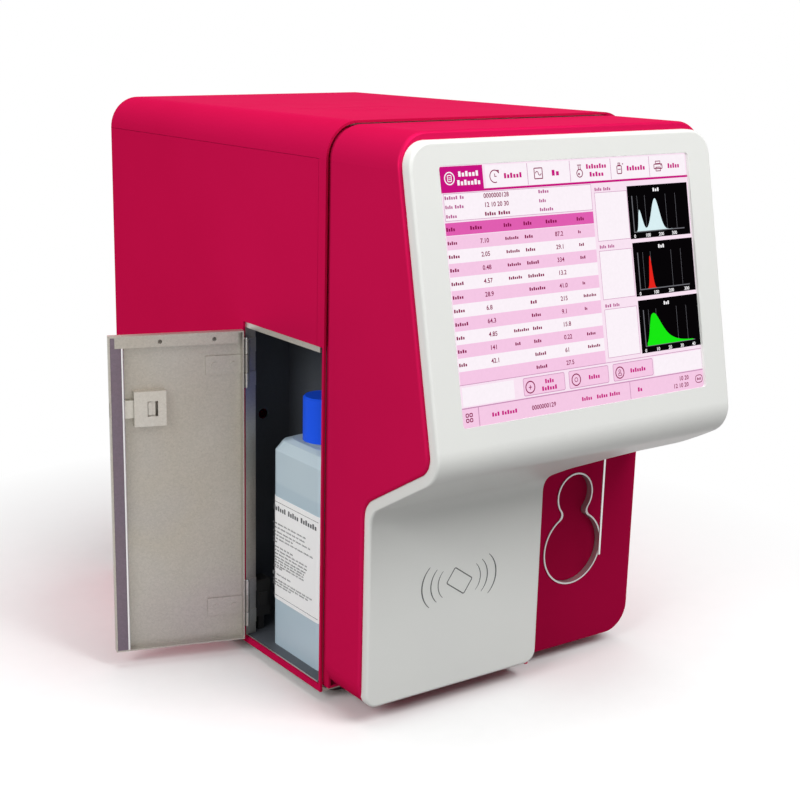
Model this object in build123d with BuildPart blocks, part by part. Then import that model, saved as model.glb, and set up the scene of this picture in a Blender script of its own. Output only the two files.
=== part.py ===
"""Hematology analyzer with its reagent door open. Millimetres, +Z up, front of the case towards -Y.

The origin is the middle of the underside of the base plate. Depths are given from the seam between
the case and the front cover, which lies at seam_y: fy(0) is the seam, fy(100) is 100 mm behind it.
"""
import os
from math import atan, cos, radians, sin, sqrt

from build123d import *

os.makedirs("parts", exist_ok=True)

# case
body_width = 308.0
body_height = 462.0
body_depth = 376.0
case_radius = 28.0
sheet = 2.0
groove_width = 5.0
base_sheet = 2.5
case_gap = 0.3
hoop_length = 15.0

# front cover and bezel
cover_inset = 1.5
cover_bottom = 3.0
cover_top_drop = 2.5
cover_wall = 3.0
cover_radius = 26.5
cover_foot_radius = 24.0
neck_inset = 4.2
neck_bottom = 4.6
neck_length = 12.0
neck_wall = 2.0
door_swing_room = 8.6
face_y = -112.8
face_drop = 108.85
face_slope = 0.21
under_y = -113.1
under_drop = 139.55
under_slope = 0.5835
lower_y = -54.0
chin_radius = 25.0
hollow_radius = 20.0
bezel_proud = 9.0
lower_proud = 6.5
bezel_wall = 2.5
bezel_inset = 4.5
bezel_top_drop = 8.5
bezel_bottom = 7.0
bezel_radius = 20.0
bezel_foot_radius = 11.0
bay_width = 125.5
bay_y = -33.0
bay_top_drop = 41.1
bay_roof = 22.0
bay_corner_radius = 16.0
chin_corner_radius = 18.0
bezel_edge = 2.4
cover_edge = 2.4

# screen
screen_width = 248.4
screen_height = 187.0
screen_corner = 2.5
glass_width = 256.0
glass_height = 194.0
glass_thick = 1.8
bracket_room = 21.5
module_height = 200.0
module_depth = 14.0

# reagent door and its compartment
door_open_angle = 107.0
hinge_inset = 0.8
hinge_s = 125.0
door_length = 117.0
door_bottom = 6.0
door_top = 283.4
door_sheet = 1.2
door_rim = 8.0
opening_bottom = 5.4
opening_top = 289.5
opening_front = 7.6
opening_rear = 128.5
liner_sheet = 1.2
liner_inset = 4.0
liner_width = 66.0
liner_front = 15.0
liner_rear = 166.0
pin_radius = 1.25
pin_clearance = 0.06
knuckle_radius = 2.6
leaf_height = 16.0
fixed_knuckle = 12.6
knuckle_gap = 0.4
low_hinge_rise = 31.0
high_hinge_drop = 29.4
latch_rise = 215.0
latch_height = 30.0

# bottle
bottle_width = 54.0
bottle_length = 80.5
bottle_gap = 2.0
bottle_s = 65.25
bottle_height = 188.6
bottle_wall = 1.5
neck_radius = 15.0
cap_radius = 18.0
cap_seat = 2.0
cap_height = 38.0
thread_clearance = 0.4

# aspirate key and sampling probe
key_side = 70.5
key_drop = 71.2
key_rise = 48.0
key_low_radius = 31.6
key_high_radius = 18.8
key_waist_radius = 5.5
trim_wall = 1.5
trim_proud = 0.8
key_clearance = 0.4
key_recess = 4.6
key_plate = 5.0
probe_offset = 22.0
probe_s = -44.0
needle_radius = 1.1
needle_reach = 6.8
rod_radius = 3.0
rod_clearance = 0.05
screw_radius = 3.0
probe_foot = 26.0
motor_drop = 59.5
motor_height = 34.0

# derived
seam_y = -body_depth / 2
half_width = body_width / 2
case_inner = half_width - sheet
cover_half = half_width - cover_inset
cover_top = body_height - cover_top_drop
bezel_half = half_width - bezel_inset
bezel_top = body_height - bezel_top_drop
tilt = atan(face_slope)
normal_stretch = sqrt(1 + face_slope ** 2)
under_stretch = sqrt(1 + under_slope ** 2)
side_top = body_height - case_radius
face_z = bezel_top - face_drop
under_z = face_z - under_drop
bay_top_z = under_z - bay_top_drop
bay_roof_z = bay_top_z + bay_roof
lower_right_x = cover_half - bay_width
key_x = cover_half - key_side
key_low_z = bay_top_z - key_drop
key_high_z = key_low_z + key_rise
key_stem_z = key_low_z + 15.2
probe_x = key_x + probe_offset
needle_tip = key_low_z - needle_reach
probe_base = bay_top_z + probe_foot
probe_top = cover_top - motor_drop
module_width = 2 * (cover_half - bracket_room)
hinge_x = hinge_inset - half_width
door_swing_x = door_swing_room - half_width
beyond_side = half_width + 1
liner_left = liner_inset - half_width
liner_right = liner_left + liner_width
bottle_x = liner_right - bottle_gap - bottle_width / 2
bottle_shoulder = opening_bottom + bottle_height
cap_bottom = bottle_shoulder + cap_seat
cap_top = cap_bottom + cap_height
hinge_heights = (door_bottom + low_hinge_rise, door_top - high_hinge_drop)
latch_mid_z = door_bottom + latch_rise


def fy(depth):
    return seam_y + depth


def corner(sketch, x, y):
    return sketch.vertices().sort_by_distance(Vector(x, y, 0))[0]


def finish(name, part):
    part.label = name
    export_step(part, "parts/" + name + ".step")
    return part


# the tilted plane of the bezel's front face, at the middle of the screen
face_plane = Plane(origin=(0, fy(face_y), face_z), x_dir=(1, 0, 0), z_dir=(0, -cos(tilt), sin(tilt)))


def face_depth(z, inset):
    return face_y - (face_z - z) * face_slope + inset * normal_stretch


def under_height(depth, inset):
    return under_z + under_slope * (under_y - depth) + inset * under_stretch


def form_points(inset, low_inset):
    """Side-view corners of the front, moved inward: foot, hollow, chin."""
    low = lower_y + low_inset
    hollow = (low, under_height(low, inset))
    c0 = face_y + inset * normal_stretch
    # z on the underside and the face at once
    a = under_z + inset * under_stretch + under_slope * (under_y - c0 + face_slope * face_z)
    chin_z = a / (1 + under_slope * face_slope)
    chin = (c0 - (face_z - chin_z) * face_slope, chin_z)
    return low, hollow, chin


def front_form(inset, low_inset, half, outline, back):
    """Solid of the front: side profile crossed with a front view given as (x, z, corner radius)."""
    low, hollow, chin = form_points(inset, low_inset)
    bottom = min(z for x, z, r in outline)
    top = max(z for x, z, r in outline)
    top_y = face_depth(top, inset)
    with BuildPart() as form:
        with BuildSketch(Plane.YZ.offset(-half)) as side:
            with BuildLine():
                Polyline(
                    (fy(back), bottom), (fy(low), bottom), (fy(low), hollow[1]), (fy(chin[0]), chin[1]),
                    (fy(top_y), top), (fy(back), top), close=True,
                )
            make_face()
            fillet(corner(side, fy(chin[0]), chin[1]), chin_radius - inset)
            fillet(corner(side, fy(low), hollow[1]), hollow_radius)
        extrude(amount=2 * half)
        with BuildSketch(Plane.XZ.offset(-fy(back))) as front:
            with BuildLine():
                Polyline(*[(x, z) for x, z, r in outline], close=True)
            make_face()
            for x, z, r in outline:
                fillet(corner(front, x, z), r)
        extrude(amount=back + 160, mode=Mode.INTERSECT)
    return form.part


def front_rim(form, back):
    """Edges where the front surface of a form meets its outline."""
    rim = []
    for edge in form.edges():
        box = edge.bounding_box()
        along_y = box.size.Y > 0.5 and box.size.X < 0.01 and box.size.Z < 0.01
        on_back = abs(box.max.Y - fy(back)) < 0.01 and box.size.Y < 0.01
        seam = box.size.X > 20 and box.size.Z < 0.01 and box.size.Y < 0.01 and not (
            abs(box.max.Z - form.bounding_box().max.Z) < 0.01 or abs(box.min.Z - form.bounding_box().min.Z) < 0.01)
        if not (along_y or on_back or seam):
            rim.append(edge)
    return rim


def keyhole_solid(clearance, depth, length):
    """Keyhole prism from the given depth towards the back."""
    waist_z = key_low_z + (key_rise ** 2 + key_low_radius ** 2 - key_high_radius ** 2) / (2 * key_rise)
    with BuildPart() as prism:
        with BuildSketch(Plane.XZ.offset(-fy(depth + length))) as outline:
            with Locations((key_x, key_low_z)):
                Circle(key_low_radius + clearance)
            with Locations((key_x, key_high_z)):
                Circle(key_high_radius + clearance)
            waist = outline.vertices().sort_by(Axis.X)
            inner = [v for v in waist if abs(v.Y - waist_z) < 6 and abs(v.X - key_x) < 14]
            fillet(inner, key_waist_radius)
        extrude(amount=length)
    return prism.part


def case_prism(inset, bottom, start, length):
    """Case-shaped prism from depth start, running length towards the back."""
    half = half_width - inset
    top = body_height - inset
    with BuildPart() as prism:
        with BuildSketch(Plane.XZ.offset(-fy(start + length))) as outline:
            with BuildLine():
                Polyline((-half, bottom), (half, bottom), (half, top), (-half, top), close=True)
            make_face()
            fillet([corner(outline, -half, top), corner(outline, half, top)], case_radius - inset)
        extrude(amount=length)
    return prism.part


# case
foot_spots = [(x, y) for x in (29 - half_width, half_width - 29) for y in (30 + seam_y, -seam_y - 30)]

with BuildPart() as base_plate:
    with BuildSketch(Plane.XY):
        with Locations((0, 0)):
            Rectangle(2 * case_inner - 2 * case_gap, body_depth - groove_width - 5.0)
        with Locations(*foot_spots):
            Circle(15.3, mode=Mode.SUBTRACT)
    extrude(amount=base_sheet)
    with BuildSketch(Plane.XY.offset(base_sheet)):
        with Locations(*foot_spots):
            Circle(18.0)
    extrude(amount=1.5)
    with BuildSketch(Plane.XY.offset(base_sheet)):
        with Locations((case_inner - case_gap - 1.0, 0), (-case_inner + case_gap + 1.0, 0)):
            Rectangle(2.0, body_depth - groove_width - 5.0)
    extrude(amount=1.2)
finish("base_plate", base_plate.part)

with BuildPart() as feet:
    with BuildSketch(Plane.XY.offset(-9.0)):
        with Locations(*foot_spots):
            Circle(15.0)
    extrude(amount=9.0 + base_sheet)
    chamfer(feet.edges().group_by(Axis.Z)[0], 1.5)
finish("feet", feet.part)

cover_outer = case_prism(0, 0, groove_width, body_depth - groove_width - sheet)
cover_hollow = case_prism(sheet, -1, groove_width - 1, body_depth - groove_width - sheet + 2)
cover_rim_hollow = case_prism(12.0, -1, body_depth - 8, 8)
with BuildPart() as upper_cover:
    add(cover_outer)
    add(cover_hollow, mode=Mode.SUBTRACT)
    # the side panels fill the sides below the cover's lower edge, behind the front hoop
    with BuildSketch(Plane.XZ.offset(-fy(body_depth))):
        with Locations((-half_width, side_top / 2), (half_width, side_top / 2)):
            Rectangle(10, side_top)
    extrude(amount=body_depth - hoop_length, mode=Mode.SUBTRACT)
    # the hoop's left leg is cut back along the reagent door
    with Locations((-half_width, fy((opening_front + hoop_length + 3) / 2), (opening_bottom + opening_top) / 2)):
        Box(10, hoop_length + 3 - opening_front, opening_top - opening_bottom, mode=Mode.SUBTRACT)
    # two fine lines pressed into the top
    with Locations((-40, fy(146), body_height)):
        Box(99, 0.9, 1.0, mode=Mode.SUBTRACT)
    with Locations((-42, fy(108), body_height)):
        Box(36, 0.9, 1.0, mode=Mode.SUBTRACT)
finish("upper_cover", upper_cover.part)

panel_start = hoop_length + case_gap
panel_length = body_depth - sheet - panel_start
panel_top = side_top - case_gap
with BuildPart() as left_side_panel:
    with BuildSketch(Plane.YZ.offset(-half_width)) as side:
        with Locations((fy(panel_start + panel_length / 2), panel_top / 2)):
            Rectangle(panel_length, panel_top)
        with Locations((fy((opening_rear + 10) / 2), (opening_bottom + opening_top) / 2)):
            Rectangle(opening_rear - 10, opening_top - opening_bottom, mode=Mode.SUBTRACT)
    extrude(amount=sheet)
finish("left_side_panel", left_side_panel.part)

with BuildPart() as right_side_panel:
    with BuildSketch(Plane.YZ.offset(half_width - sheet)):
        with Locations((fy(panel_start + panel_length / 2), panel_top / 2)):
            Rectangle(panel_length, panel_top)
        with Locations((fy(300), 60)):
            with GridLocations(0, 10, 1, 6):
                SlotOverall(70, 4, mode=Mode.SUBTRACT)
    extrude(amount=sheet)
finish("right_side_panel", right_side_panel.part)

# rear panel cut-outs
fan_spot = (half_width - 84.0, body_height - 132.0)
inlet_spot = (half_width - 42.0, 62.0)
rocker_spot = (inlet_spot[0] - 50.0, inlet_spot[1])
port_spots = [(34.0 + 28.0 * k - half_width, 60.0) for k in range(3)]
data_spots = [(36.0 + 26.0 * k - half_width, 210.0) for k in range(3)]
screw_spots = [(side * (half_width - 8.0), z) for side in (-1, 1)
               for z in (40.0, 160.0, side_top - 144.0, side_top - 34.0)]

rear_blank = case_prism(0, 0, body_depth - sheet, sheet)
with BuildPart() as rear_panel:
    add(rear_blank)
    with BuildSketch(Plane.XZ.offset(-fy(body_depth) - 1)):
        with Locations(fan_spot):
            Circle(37.0)
        with Locations(inlet_spot):
            Rectangle(28.4, 20.4)
        with Locations(rocker_spot):
            Rectangle(13.4, 19.4)
        with Locations(*port_spots):
            Circle(4.6)
        with Locations(*data_spots):
            Rectangle(16.4, 13.4)
        with Locations(*screw_spots):
            Circle(1.7)
    extrude(amount=4, mode=Mode.SUBTRACT)
finish("rear_panel", rear_panel.part)

with BuildPart() as corner_posts:
    # folded posts behind the rear corners, which take the panel screws
    with BuildSketch(Plane.XY.offset(base_sheet + 1.3)):
        for side in (-1, 1):
            with Locations((side * (case_inner - 6.3), fy(body_depth - sheet - 0.75))):
                Rectangle(12.0, 1.5)
            with Locations((side * (case_inner - 1.05), fy(body_depth - sheet - 7.5))):
                Rectangle(1.5, 15.0)
    extrude(amount=side_top - 11)
    with BuildSketch(Plane.XZ.offset(-fy(body_depth))):
        with Locations(*screw_spots):
            Circle(1.6)
    extrude(amount=20, mode=Mode.SUBTRACT)
finish("corner_posts", corner_posts.part)

with BuildPart() as panel_screws:
    with BuildSketch(Plane.XZ.offset(-fy(body_depth) - 1.8)):
        with Locations(*screw_spots):
            Circle(3.0)
    extrude(amount=1.8)
    with BuildSketch(Plane.XZ.offset(-fy(body_depth))):
        with Locations(*screw_spots):
            Circle(1.5)
    extrude(amount=7.0)
    with BuildSketch(Plane.XZ.offset(-fy(body_depth) - 1.8)):
        with Locations(*screw_spots):
            RectangleRounded(3.2, 0.7, 0.3)
            RectangleRounded(0.7, 3.2, 0.3)
    extrude(amount=0.9, mode=Mode.SUBTRACT)
finish("panel_screws", panel_screws.part)

bulkhead_form = case_prism(sheet + 0.3, base_sheet + 1.5, neck_length, 1.5)
with BuildPart() as bulkhead:
    add(bulkhead_form)
    with BuildSketch(Plane.XZ.offset(-fy(neck_length + 2))):
        with Locations((-10, body_height - 102)):
            Rectangle(110, 120)
        with Locations((-30, 100)):
            Rectangle(60, 90)
        with Locations(((door_swing_x - beyond_side) / 2, (opening_bottom + opening_top) / 2)):
            Rectangle(beyond_side + door_swing_x, opening_top - opening_bottom + 3)
    extrude(amount=4, mode=Mode.SUBTRACT)
finish("bulkhead", bulkhead.part)

# front cover
def cover_outline(inset):
    half = cover_half - inset
    low = cover_bottom + inset
    high = cover_top - inset
    return [(-half, low, cover_foot_radius - inset), (half, low, cover_foot_radius - inset),
            (half, high, cover_radius - inset), (-half, high, cover_radius - inset)]


def bezel_outline(inset):
    half = bezel_half - inset
    low = bezel_bottom + inset
    high = bezel_top - inset
    right = lower_right_x - inset
    shelf = bay_top_z + inset
    return [(-half, low, bezel_foot_radius - inset), (right, low, bezel_foot_radius - inset),
            (right, shelf, bay_corner_radius + inset), (half, shelf, chin_corner_radius - inset),
            (half, high, bezel_radius - inset), (-half, high, bezel_radius - inset)]


cover_outer_form = front_form(bezel_proud, lower_proud, cover_half, cover_outline(0), 0)
with BuildPart() as cover_rounded:
    add(cover_outer_form)
    fillet(front_rim(cover_rounded.part, 0), cover_edge)
cover_outer_form = cover_rounded.part
cover_inner_form = front_form(bezel_proud + cover_wall, lower_proud + cover_wall, cover_half - cover_wall,
                              cover_outline(cover_wall), -cover_wall)
neck_half = half_width - neck_inset
neck_top = body_height - neck_inset
bay_left = lower_right_x - 2.7
bay_right = half_width + 16
trim_hole = keyhole_solid(trim_wall, bay_y - 2, cover_wall + 4)
with BuildPart() as front_cover:
    add(cover_outer_form)
    # neck that enters the case and rests on the bulkhead
    with BuildSketch(Plane.XZ.offset(-fy(neck_length))) as neck:
        with BuildLine():
            Polyline((-neck_half, neck_bottom), (neck_half, neck_bottom), (neck_half, neck_top), (-neck_half, neck_top),
                     close=True)
        make_face()
        fillet([corner(neck, -neck_half, neck_top), corner(neck, neck_half, neck_top)], case_radius - neck_inset)
    extrude(amount=neck_length + 1)
    add(cover_inner_form, mode=Mode.SUBTRACT)
    with BuildSketch(Plane.XZ.offset(-fy(neck_length + 1))) as throat:
        with BuildLine():
            Polyline((-neck_half + neck_wall, neck_bottom + neck_wall), (neck_half - neck_wall, neck_bottom + neck_wall),
                     (neck_half - neck_wall, neck_top - neck_wall), (-neck_half + neck_wall, neck_top - neck_wall),
                     close=True)
        make_face()
        fillet([corner(throat, -neck_half + neck_wall, neck_top - neck_wall),
                corner(throat, neck_half - neck_wall, neck_top - neck_wall)], case_radius - neck_inset - neck_wall)
    extrude(amount=neck_length + 1 + cover_wall + 1, mode=Mode.SUBTRACT)
    # the neck stops short along the reagent door, whose free rim swings in behind it
    with Locations(((door_swing_x - beyond_side) / 2, fy(opening_front + 3.1), (opening_bottom + opening_top) / 2)):
        Box(beyond_side + door_swing_x, 6.6, opening_top - opening_bottom + 1, mode=Mode.SUBTRACT)
    # sampling bay: a recess in the lower right, with its own wall
    with Locations(((bay_left + bay_right) / 2, fy((bay_y + cover_wall - 60) / 2), bay_roof_z / 2)):
        Box(bay_right - bay_left, bay_y + cover_wall + 60, bay_roof_z, mode=Mode.SUBTRACT)
    with BuildSketch(Plane.XZ.offset(-fy(bay_y + cover_wall))) as bay:
        with BuildLine():
            Polyline((bay_left - cover_wall, cover_bottom), (cover_half, cover_bottom), (cover_half, bay_roof_z),
                     (bay_left - cover_wall, bay_roof_z), close=True)
        make_face()
        fillet(corner(bay, cover_half, cover_bottom), cover_foot_radius)
    extrude(amount=cover_wall)
    with BuildSketch(Plane.XZ.offset(-fy(bay_y))) as jamb:
        with Locations((bay_left - cover_wall / 2, (cover_bottom + bay_roof_z) / 2)):
            Rectangle(cover_wall, bay_roof_z - cover_bottom)
    extrude(amount=abs(lower_y + lower_proud - bay_y))
    with Locations(((bay_left - cover_wall + cover_half) / 2, fy((bay_y + lower_y + lower_proud) / 2),
                    bay_roof_z - cover_wall / 2)):
        Box(cover_half - bay_left + cover_wall, abs(lower_y + lower_proud - bay_y), cover_wall)
    # keyhole, probe slot and screen window
    add(trim_hole, mode=Mode.SUBTRACT)
    with Locations((probe_x, fy(probe_s), bay_roof_z - 2)):
        Cylinder(4.5, 20, mode=Mode.SUBTRACT)
    with BuildSketch(face_plane.offset(-30)):
        Rectangle(module_width + 9, module_height + 4)
    extrude(amount=40, mode=Mode.SUBTRACT)
finish("front_cover", front_cover.part)

# bezel
bezel_outer_form = front_form(0, 0, bezel_half, bezel_outline(0), bay_y)
with BuildPart() as bezel_rounded:
    add(bezel_outer_form)
    fillet(front_rim(bezel_rounded.part, bay_y), bezel_edge)
bezel_inner_form = front_form(bezel_wall, bezel_wall, bezel_half - bezel_wall, bezel_outline(bezel_wall), bay_y + 5)
with BuildPart() as front_block:
    # the space the front cover takes up
    add(cover_outer_form)
    with Locations(((bay_left + bay_right) / 2, fy((bay_y - 60) / 2), (bay_roof_z - cover_wall) / 2)):
        Box(bay_right - bay_left, bay_y + 60, bay_roof_z - cover_wall, mode=Mode.SUBTRACT)
with BuildPart() as front_bezel:
    add(bezel_rounded.part)
    add(bezel_inner_form, mode=Mode.SUBTRACT)
    add(front_block.part, mode=Mode.SUBTRACT)
    with BuildSketch(face_plane.offset(-6)):
        RectangleRounded(screen_width, screen_height, screen_corner)
    extrude(amount=12, mode=Mode.SUBTRACT)
    with Locations((probe_x, fy(probe_s), bay_top_z - 4)):
        Cylinder(3.5, 40, mode=Mode.SUBTRACT)
finish("front_bezel", front_bezel.part)

# screen
with BuildPart() as touch_screen:
    with BuildSketch(face_plane.offset(-bezel_wall - glass_thick)):
        RectangleRounded(glass_width, glass_height, 2)
    extrude(amount=glass_thick)
finish("touch_screen", touch_screen.part)

module_top = -bezel_wall - glass_thick
with BuildPart() as display_module:
    with BuildSketch(face_plane.offset(module_top - module_depth)):
        RectangleRounded(module_width, module_height, 2)
    extrude(amount=module_depth)
finish("display_module", display_module.part)


def face_point(up, out):
    return (fy(face_y) + up * sin(tilt) - out * cos(tilt), face_z + up * cos(tilt) + out * sin(tilt))


bracket_back = module_top - module_depth
arm_z = cover_top - 59.5
with BuildPart() as display_brackets:
    for side in (-1, 1):
        start = side * module_width / 2 if side > 0 else -module_width / 2 - 2
        with BuildSketch(Plane.YZ.offset(start)):
            with BuildLine():
                Polyline(face_point(-60, bracket_back + 5.5), face_point(60, bracket_back + 5.5),
                         (fy(neck_length), arm_z + 30), (fy(neck_length), arm_z), (fy(-40), arm_z - 20),
                         (fy(-60), arm_z - 70), (fy(neck_length), arm_z - 90), (fy(neck_length), arm_z - 120),
                         close=True)
            make_face()
        extrude(amount=2)
finish("display_brackets", display_brackets.part)

# reagent compartment
lin_h = opening_top + 1.5
liner_low = opening_bottom - liner_sheet
with BuildPart() as compartment_liner:
    with Locations(((liner_left + liner_right) / 2, fy((liner_front + liner_rear) / 2), (liner_low + lin_h) / 2)):
        Box(liner_right - liner_left, liner_rear - liner_front, lin_h - liner_low)
    with Locations(((liner_left - 10 + liner_right - liner_sheet) / 2, fy((liner_front + liner_rear) / 2),
                    (opening_bottom + lin_h - liner_sheet) / 2)):
        Box(liner_right - liner_sheet - liner_left + 10, liner_rear - liner_front - 2 * liner_sheet,
            lin_h - liner_sheet - opening_bottom, mode=Mode.SUBTRACT)
    # the front wall is set back where the door's rim and lip swing in
    with Locations(((door_swing_x - beyond_side) / 2, fy(liner_front + 0.5), (opening_bottom + lin_h) / 2 + 1)):
        Box(beyond_side + door_swing_x, 2.0, lin_h - opening_bottom + 2, mode=Mode.SUBTRACT)
    # hole for the reagent line in the rear wall
    with BuildSketch(Plane.XZ.offset(-fy(liner_rear) - 1)):
        with Locations((bottle_x + 0.5, bottle_shoulder + 1)):
            Circle(4.6)
    extrude(amount=4, mode=Mode.SUBTRACT)
finish("compartment_liner", compartment_liner.part)

strip_out = 2.1 - half_width
strip_in = 3.5 - half_width
post_in = 12.0 - half_width
strip_front = opening_front + 6.2
header_low = door_top + 0.8
header_high = opening_top + 2.5
sill_low = opening_bottom - 1.5
post_low = opening_bottom + 0.1
post_high = opening_top + 0.2
with BuildPart() as door_frame:
    # bare metal strips round the opening: header, sill and the folded post on the hinge side
    with Locations(((strip_out + strip_in) / 2, fy((strip_front + opening_rear) / 2), (header_low + header_high) / 2)):
        Box(strip_in - strip_out, opening_rear - strip_front, header_high - header_low)
    with Locations(((strip_out + strip_in) / 2, fy((strip_front + opening_rear) / 2), sill_low + 0.8)):
        Box(strip_in - strip_out, opening_rear - strip_front, 1.6)
    with Locations(((strip_out + post_in) / 2, fy(opening_rear + 0.75), (post_low + post_high) / 2)):
        Box(post_in - strip_out, 1.5, post_high - post_low)
    with Locations(((strip_out + strip_in) / 2, fy(opening_rear + 6), (sill_low + header_high) / 2)):
        Box(strip_in - strip_out, 10.6, header_high - sill_low)
finish("door_frame", door_frame.part)

sensor_x = 20.0 - half_width
with BuildPart() as door_sensor:
    with Locations((sensor_x, fy(opening_rear + 9), opening_bottom + 30.6)):
        Box(16, 15, 34)
    with Locations((sensor_x, fy(opening_rear + 9), opening_bottom + 6.8)):
        Box(6, 10, 13.6)
    with Locations((sensor_x, fy(opening_rear + 0.5), opening_bottom + 30.6)):
        Box(8, 2, 12)
finish("door_sensor", door_sensor.part)

# reagent door, modelled closed and then swung open about its hinge line
hinge_axis = Axis((hinge_x, fy(hinge_s), 0), (0, 0, 1))
door_rear_s = hinge_s - 3.6
door_front_s = hinge_s - door_length
door_mid_s = (door_rear_s + door_front_s) / 2
door_span = door_rear_s - door_front_s
door_mid_z = (door_bottom + door_top) / 2
door_tall = door_top - door_bottom
skin_in = -half_width + door_sheet

with BuildPart() as door_pan:
    with Locations((-half_width + door_rim / 2, fy(door_mid_s), door_mid_z)):
        Box(door_rim, door_span, door_tall)
    fillet(door_pan.edges().filter_by(Axis.Z).sort_by(Axis.X)[:2], 1.0)
    with Locations((skin_in + door_rim / 2, fy(door_mid_s), door_mid_z)):
        Box(door_rim, door_span - 2 * door_sheet, door_tall - 2 * door_sheet, mode=Mode.SUBTRACT)
    # folded lip along the top, with two holes
    with Locations((-half_width + door_rim - door_sheet / 2, fy(door_mid_s), door_top - 5.6)):
        Box(door_sheet, door_span - 10, 8.8)
    for s in (hinge_s - 74.5, hinge_s - 28.8):
        with BuildSketch(Plane.YZ.offset(-half_width + door_rim - 3)):
            with Locations((fy(s), door_top - 5.8)):
                Circle(1.8)
        extrude(amount=6, mode=Mode.SUBTRACT)
    # window for the tongue in the free rim
    with Locations((-half_width + 5.2, fy(door_front_s + 0.6), latch_mid_z)):
        Box(3.4, 4, 12.8, mode=Mode.SUBTRACT)
    # slots in the hinge rim that let the hinge leaves through
    for z in hinge_heights:
        with Locations((skin_in + 0.9, fy(door_rear_s - 0.6), z)):
            Box(1.8, 3, leaf_height + 0.6, mode=Mode.SUBTRACT)
door_pan_open = door_pan.part.rotate(hinge_axis, -door_open_angle)
finish("door_pan", door_pan_open)

with BuildPart() as hinge_leaves:
    # leaf on the door's inner face with its knuckle round the pin, bottom and top
    for z in hinge_heights:
        low = z - leaf_height / 2
        high = z + leaf_height / 2
        with Locations((skin_in + 0.7, fy(hinge_s - 19.5), (low + high) / 2)):
            Box(1.4, 31.8, high - low)
        with Locations((hinge_x, fy(hinge_s), (low + high) / 2)):
            Cylinder(knuckle_radius, high - low)
        with Locations((skin_in + 0.35, fy(hinge_s - 2.6), (low + high) / 2)):
            Box(0.7, 2.4, high - low)
        with Locations((hinge_x, fy(hinge_s), (low + high) / 2)):
            Cylinder(pin_radius + pin_clearance, high - low + 2, mode=Mode.SUBTRACT)
        for s in (hinge_s - 12, hinge_s - 28):
            with BuildSketch(Plane.YZ.offset(skin_in + 1.4)):
                with Locations((fy(s), (low + high) / 2)):
                    Circle(2.6)
            extrude(amount=0.9)
leaves_open = hinge_leaves.part.rotate(hinge_axis, -door_open_angle)
finish("hinge_leaves", leaves_open)

# heights of the fixed knuckles, below and above each leaf
fixed_spans = []
for z in hinge_heights:
    for side in (-1, 1):
        near = z + side * (leaf_height / 2 + knuckle_gap)
        far = near + side * fixed_knuckle
        fixed_spans.append((min(near, far), max(near, far)))
pin_half = leaf_height / 2 + knuckle_gap + fixed_knuckle

with BuildPart() as hinge_brackets:
    # each knuckle is on a strip screwed to the folded post
    for low, high in fixed_spans:
        with Locations((hinge_x, fy(hinge_s), (low + high) / 2)):
            Cylinder(knuckle_radius, high - low)
        with Locations((hinge_x + 2.2, fy((hinge_s + opening_rear) / 2 + 0.4), (low + high) / 2)):
            Box(1.2, opening_rear - hinge_s - 0.8, high - low)
        with Locations(((strip_out + post_in) / 2 + 0.6, fy(opening_rear - 0.5), (low + high) / 2)):
            Box(8.4, 1.0, high - low)
        with Locations((hinge_x, fy(hinge_s), (low + high) / 2)):
            Cylinder(pin_radius, high - low + 2, mode=Mode.SUBTRACT)
finish("hinge_brackets", hinge_brackets.part)

with BuildPart() as hinge_pins:
    for z in hinge_heights:
        with Locations((hinge_x, fy(hinge_s), z)):
            Cylinder(pin_radius, 2 * pin_half)
        with Locations((hinge_x, fy(hinge_s), z + pin_half + 0.6)):
            Cylinder(2.0, 1.2)
finish("hinge_pins", hinge_pins.part)

latch_near = hinge_s - 70.0
latch_far = hinge_s - 97.0
latch_mid_s = (latch_near + latch_far) / 2
with BuildPart() as latch_plate:
    # raised cover over the sliding tongue, with the finger window, open towards the free edge
    with Locations((skin_in + 3.4, fy(latch_mid_s), latch_mid_z)):
        Box(6.8, latch_near - latch_far, latch_height)
    with Locations((skin_in + 2.9, fy(latch_mid_s - 3), latch_mid_z)):
        Box(5.8, latch_near - latch_far, 16.0, mode=Mode.SUBTRACT)
    with Locations((skin_in + 5, fy(hinge_s - 81.5), latch_mid_z)):
        Box(10, 9, 13, mode=Mode.SUBTRACT)
latch_plate_open = latch_plate.part.rotate(hinge_axis, -door_open_angle)
finish("latch_plate", latch_plate_open)

with BuildPart() as latch_tongue:
    with Locations((skin_in + 2.6, fy((hinge_s - 79 + hinge_s - 110) / 2), latch_mid_z)):
        Box(4.0, 31, 15.2)
    with Locations((skin_in + 4.9, fy(hinge_s - 83.5), latch_mid_z)):
        Box(1.4, 3, 11)
    # tip that passes through the rim's window, bevelled on the closing side
    with BuildSketch(Plane.XY.offset(latch_mid_z - 6.0)):
        with BuildLine():
            Polyline((-half_width + 3.9, fy(hinge_s - 109)), (-half_width + 6.5, fy(hinge_s - 109)),
                     (-half_width + 6.5, fy(hinge_s - door_length + 0.3)),
                     (-half_width + 3.9, fy(hinge_s - door_length + 2.6)), close=True)
        make_face()
    extrude(amount=12.0)
latch_tongue_open = latch_tongue.part.rotate(hinge_axis, -door_open_angle)
finish("latch_tongue", latch_tongue_open)

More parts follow.
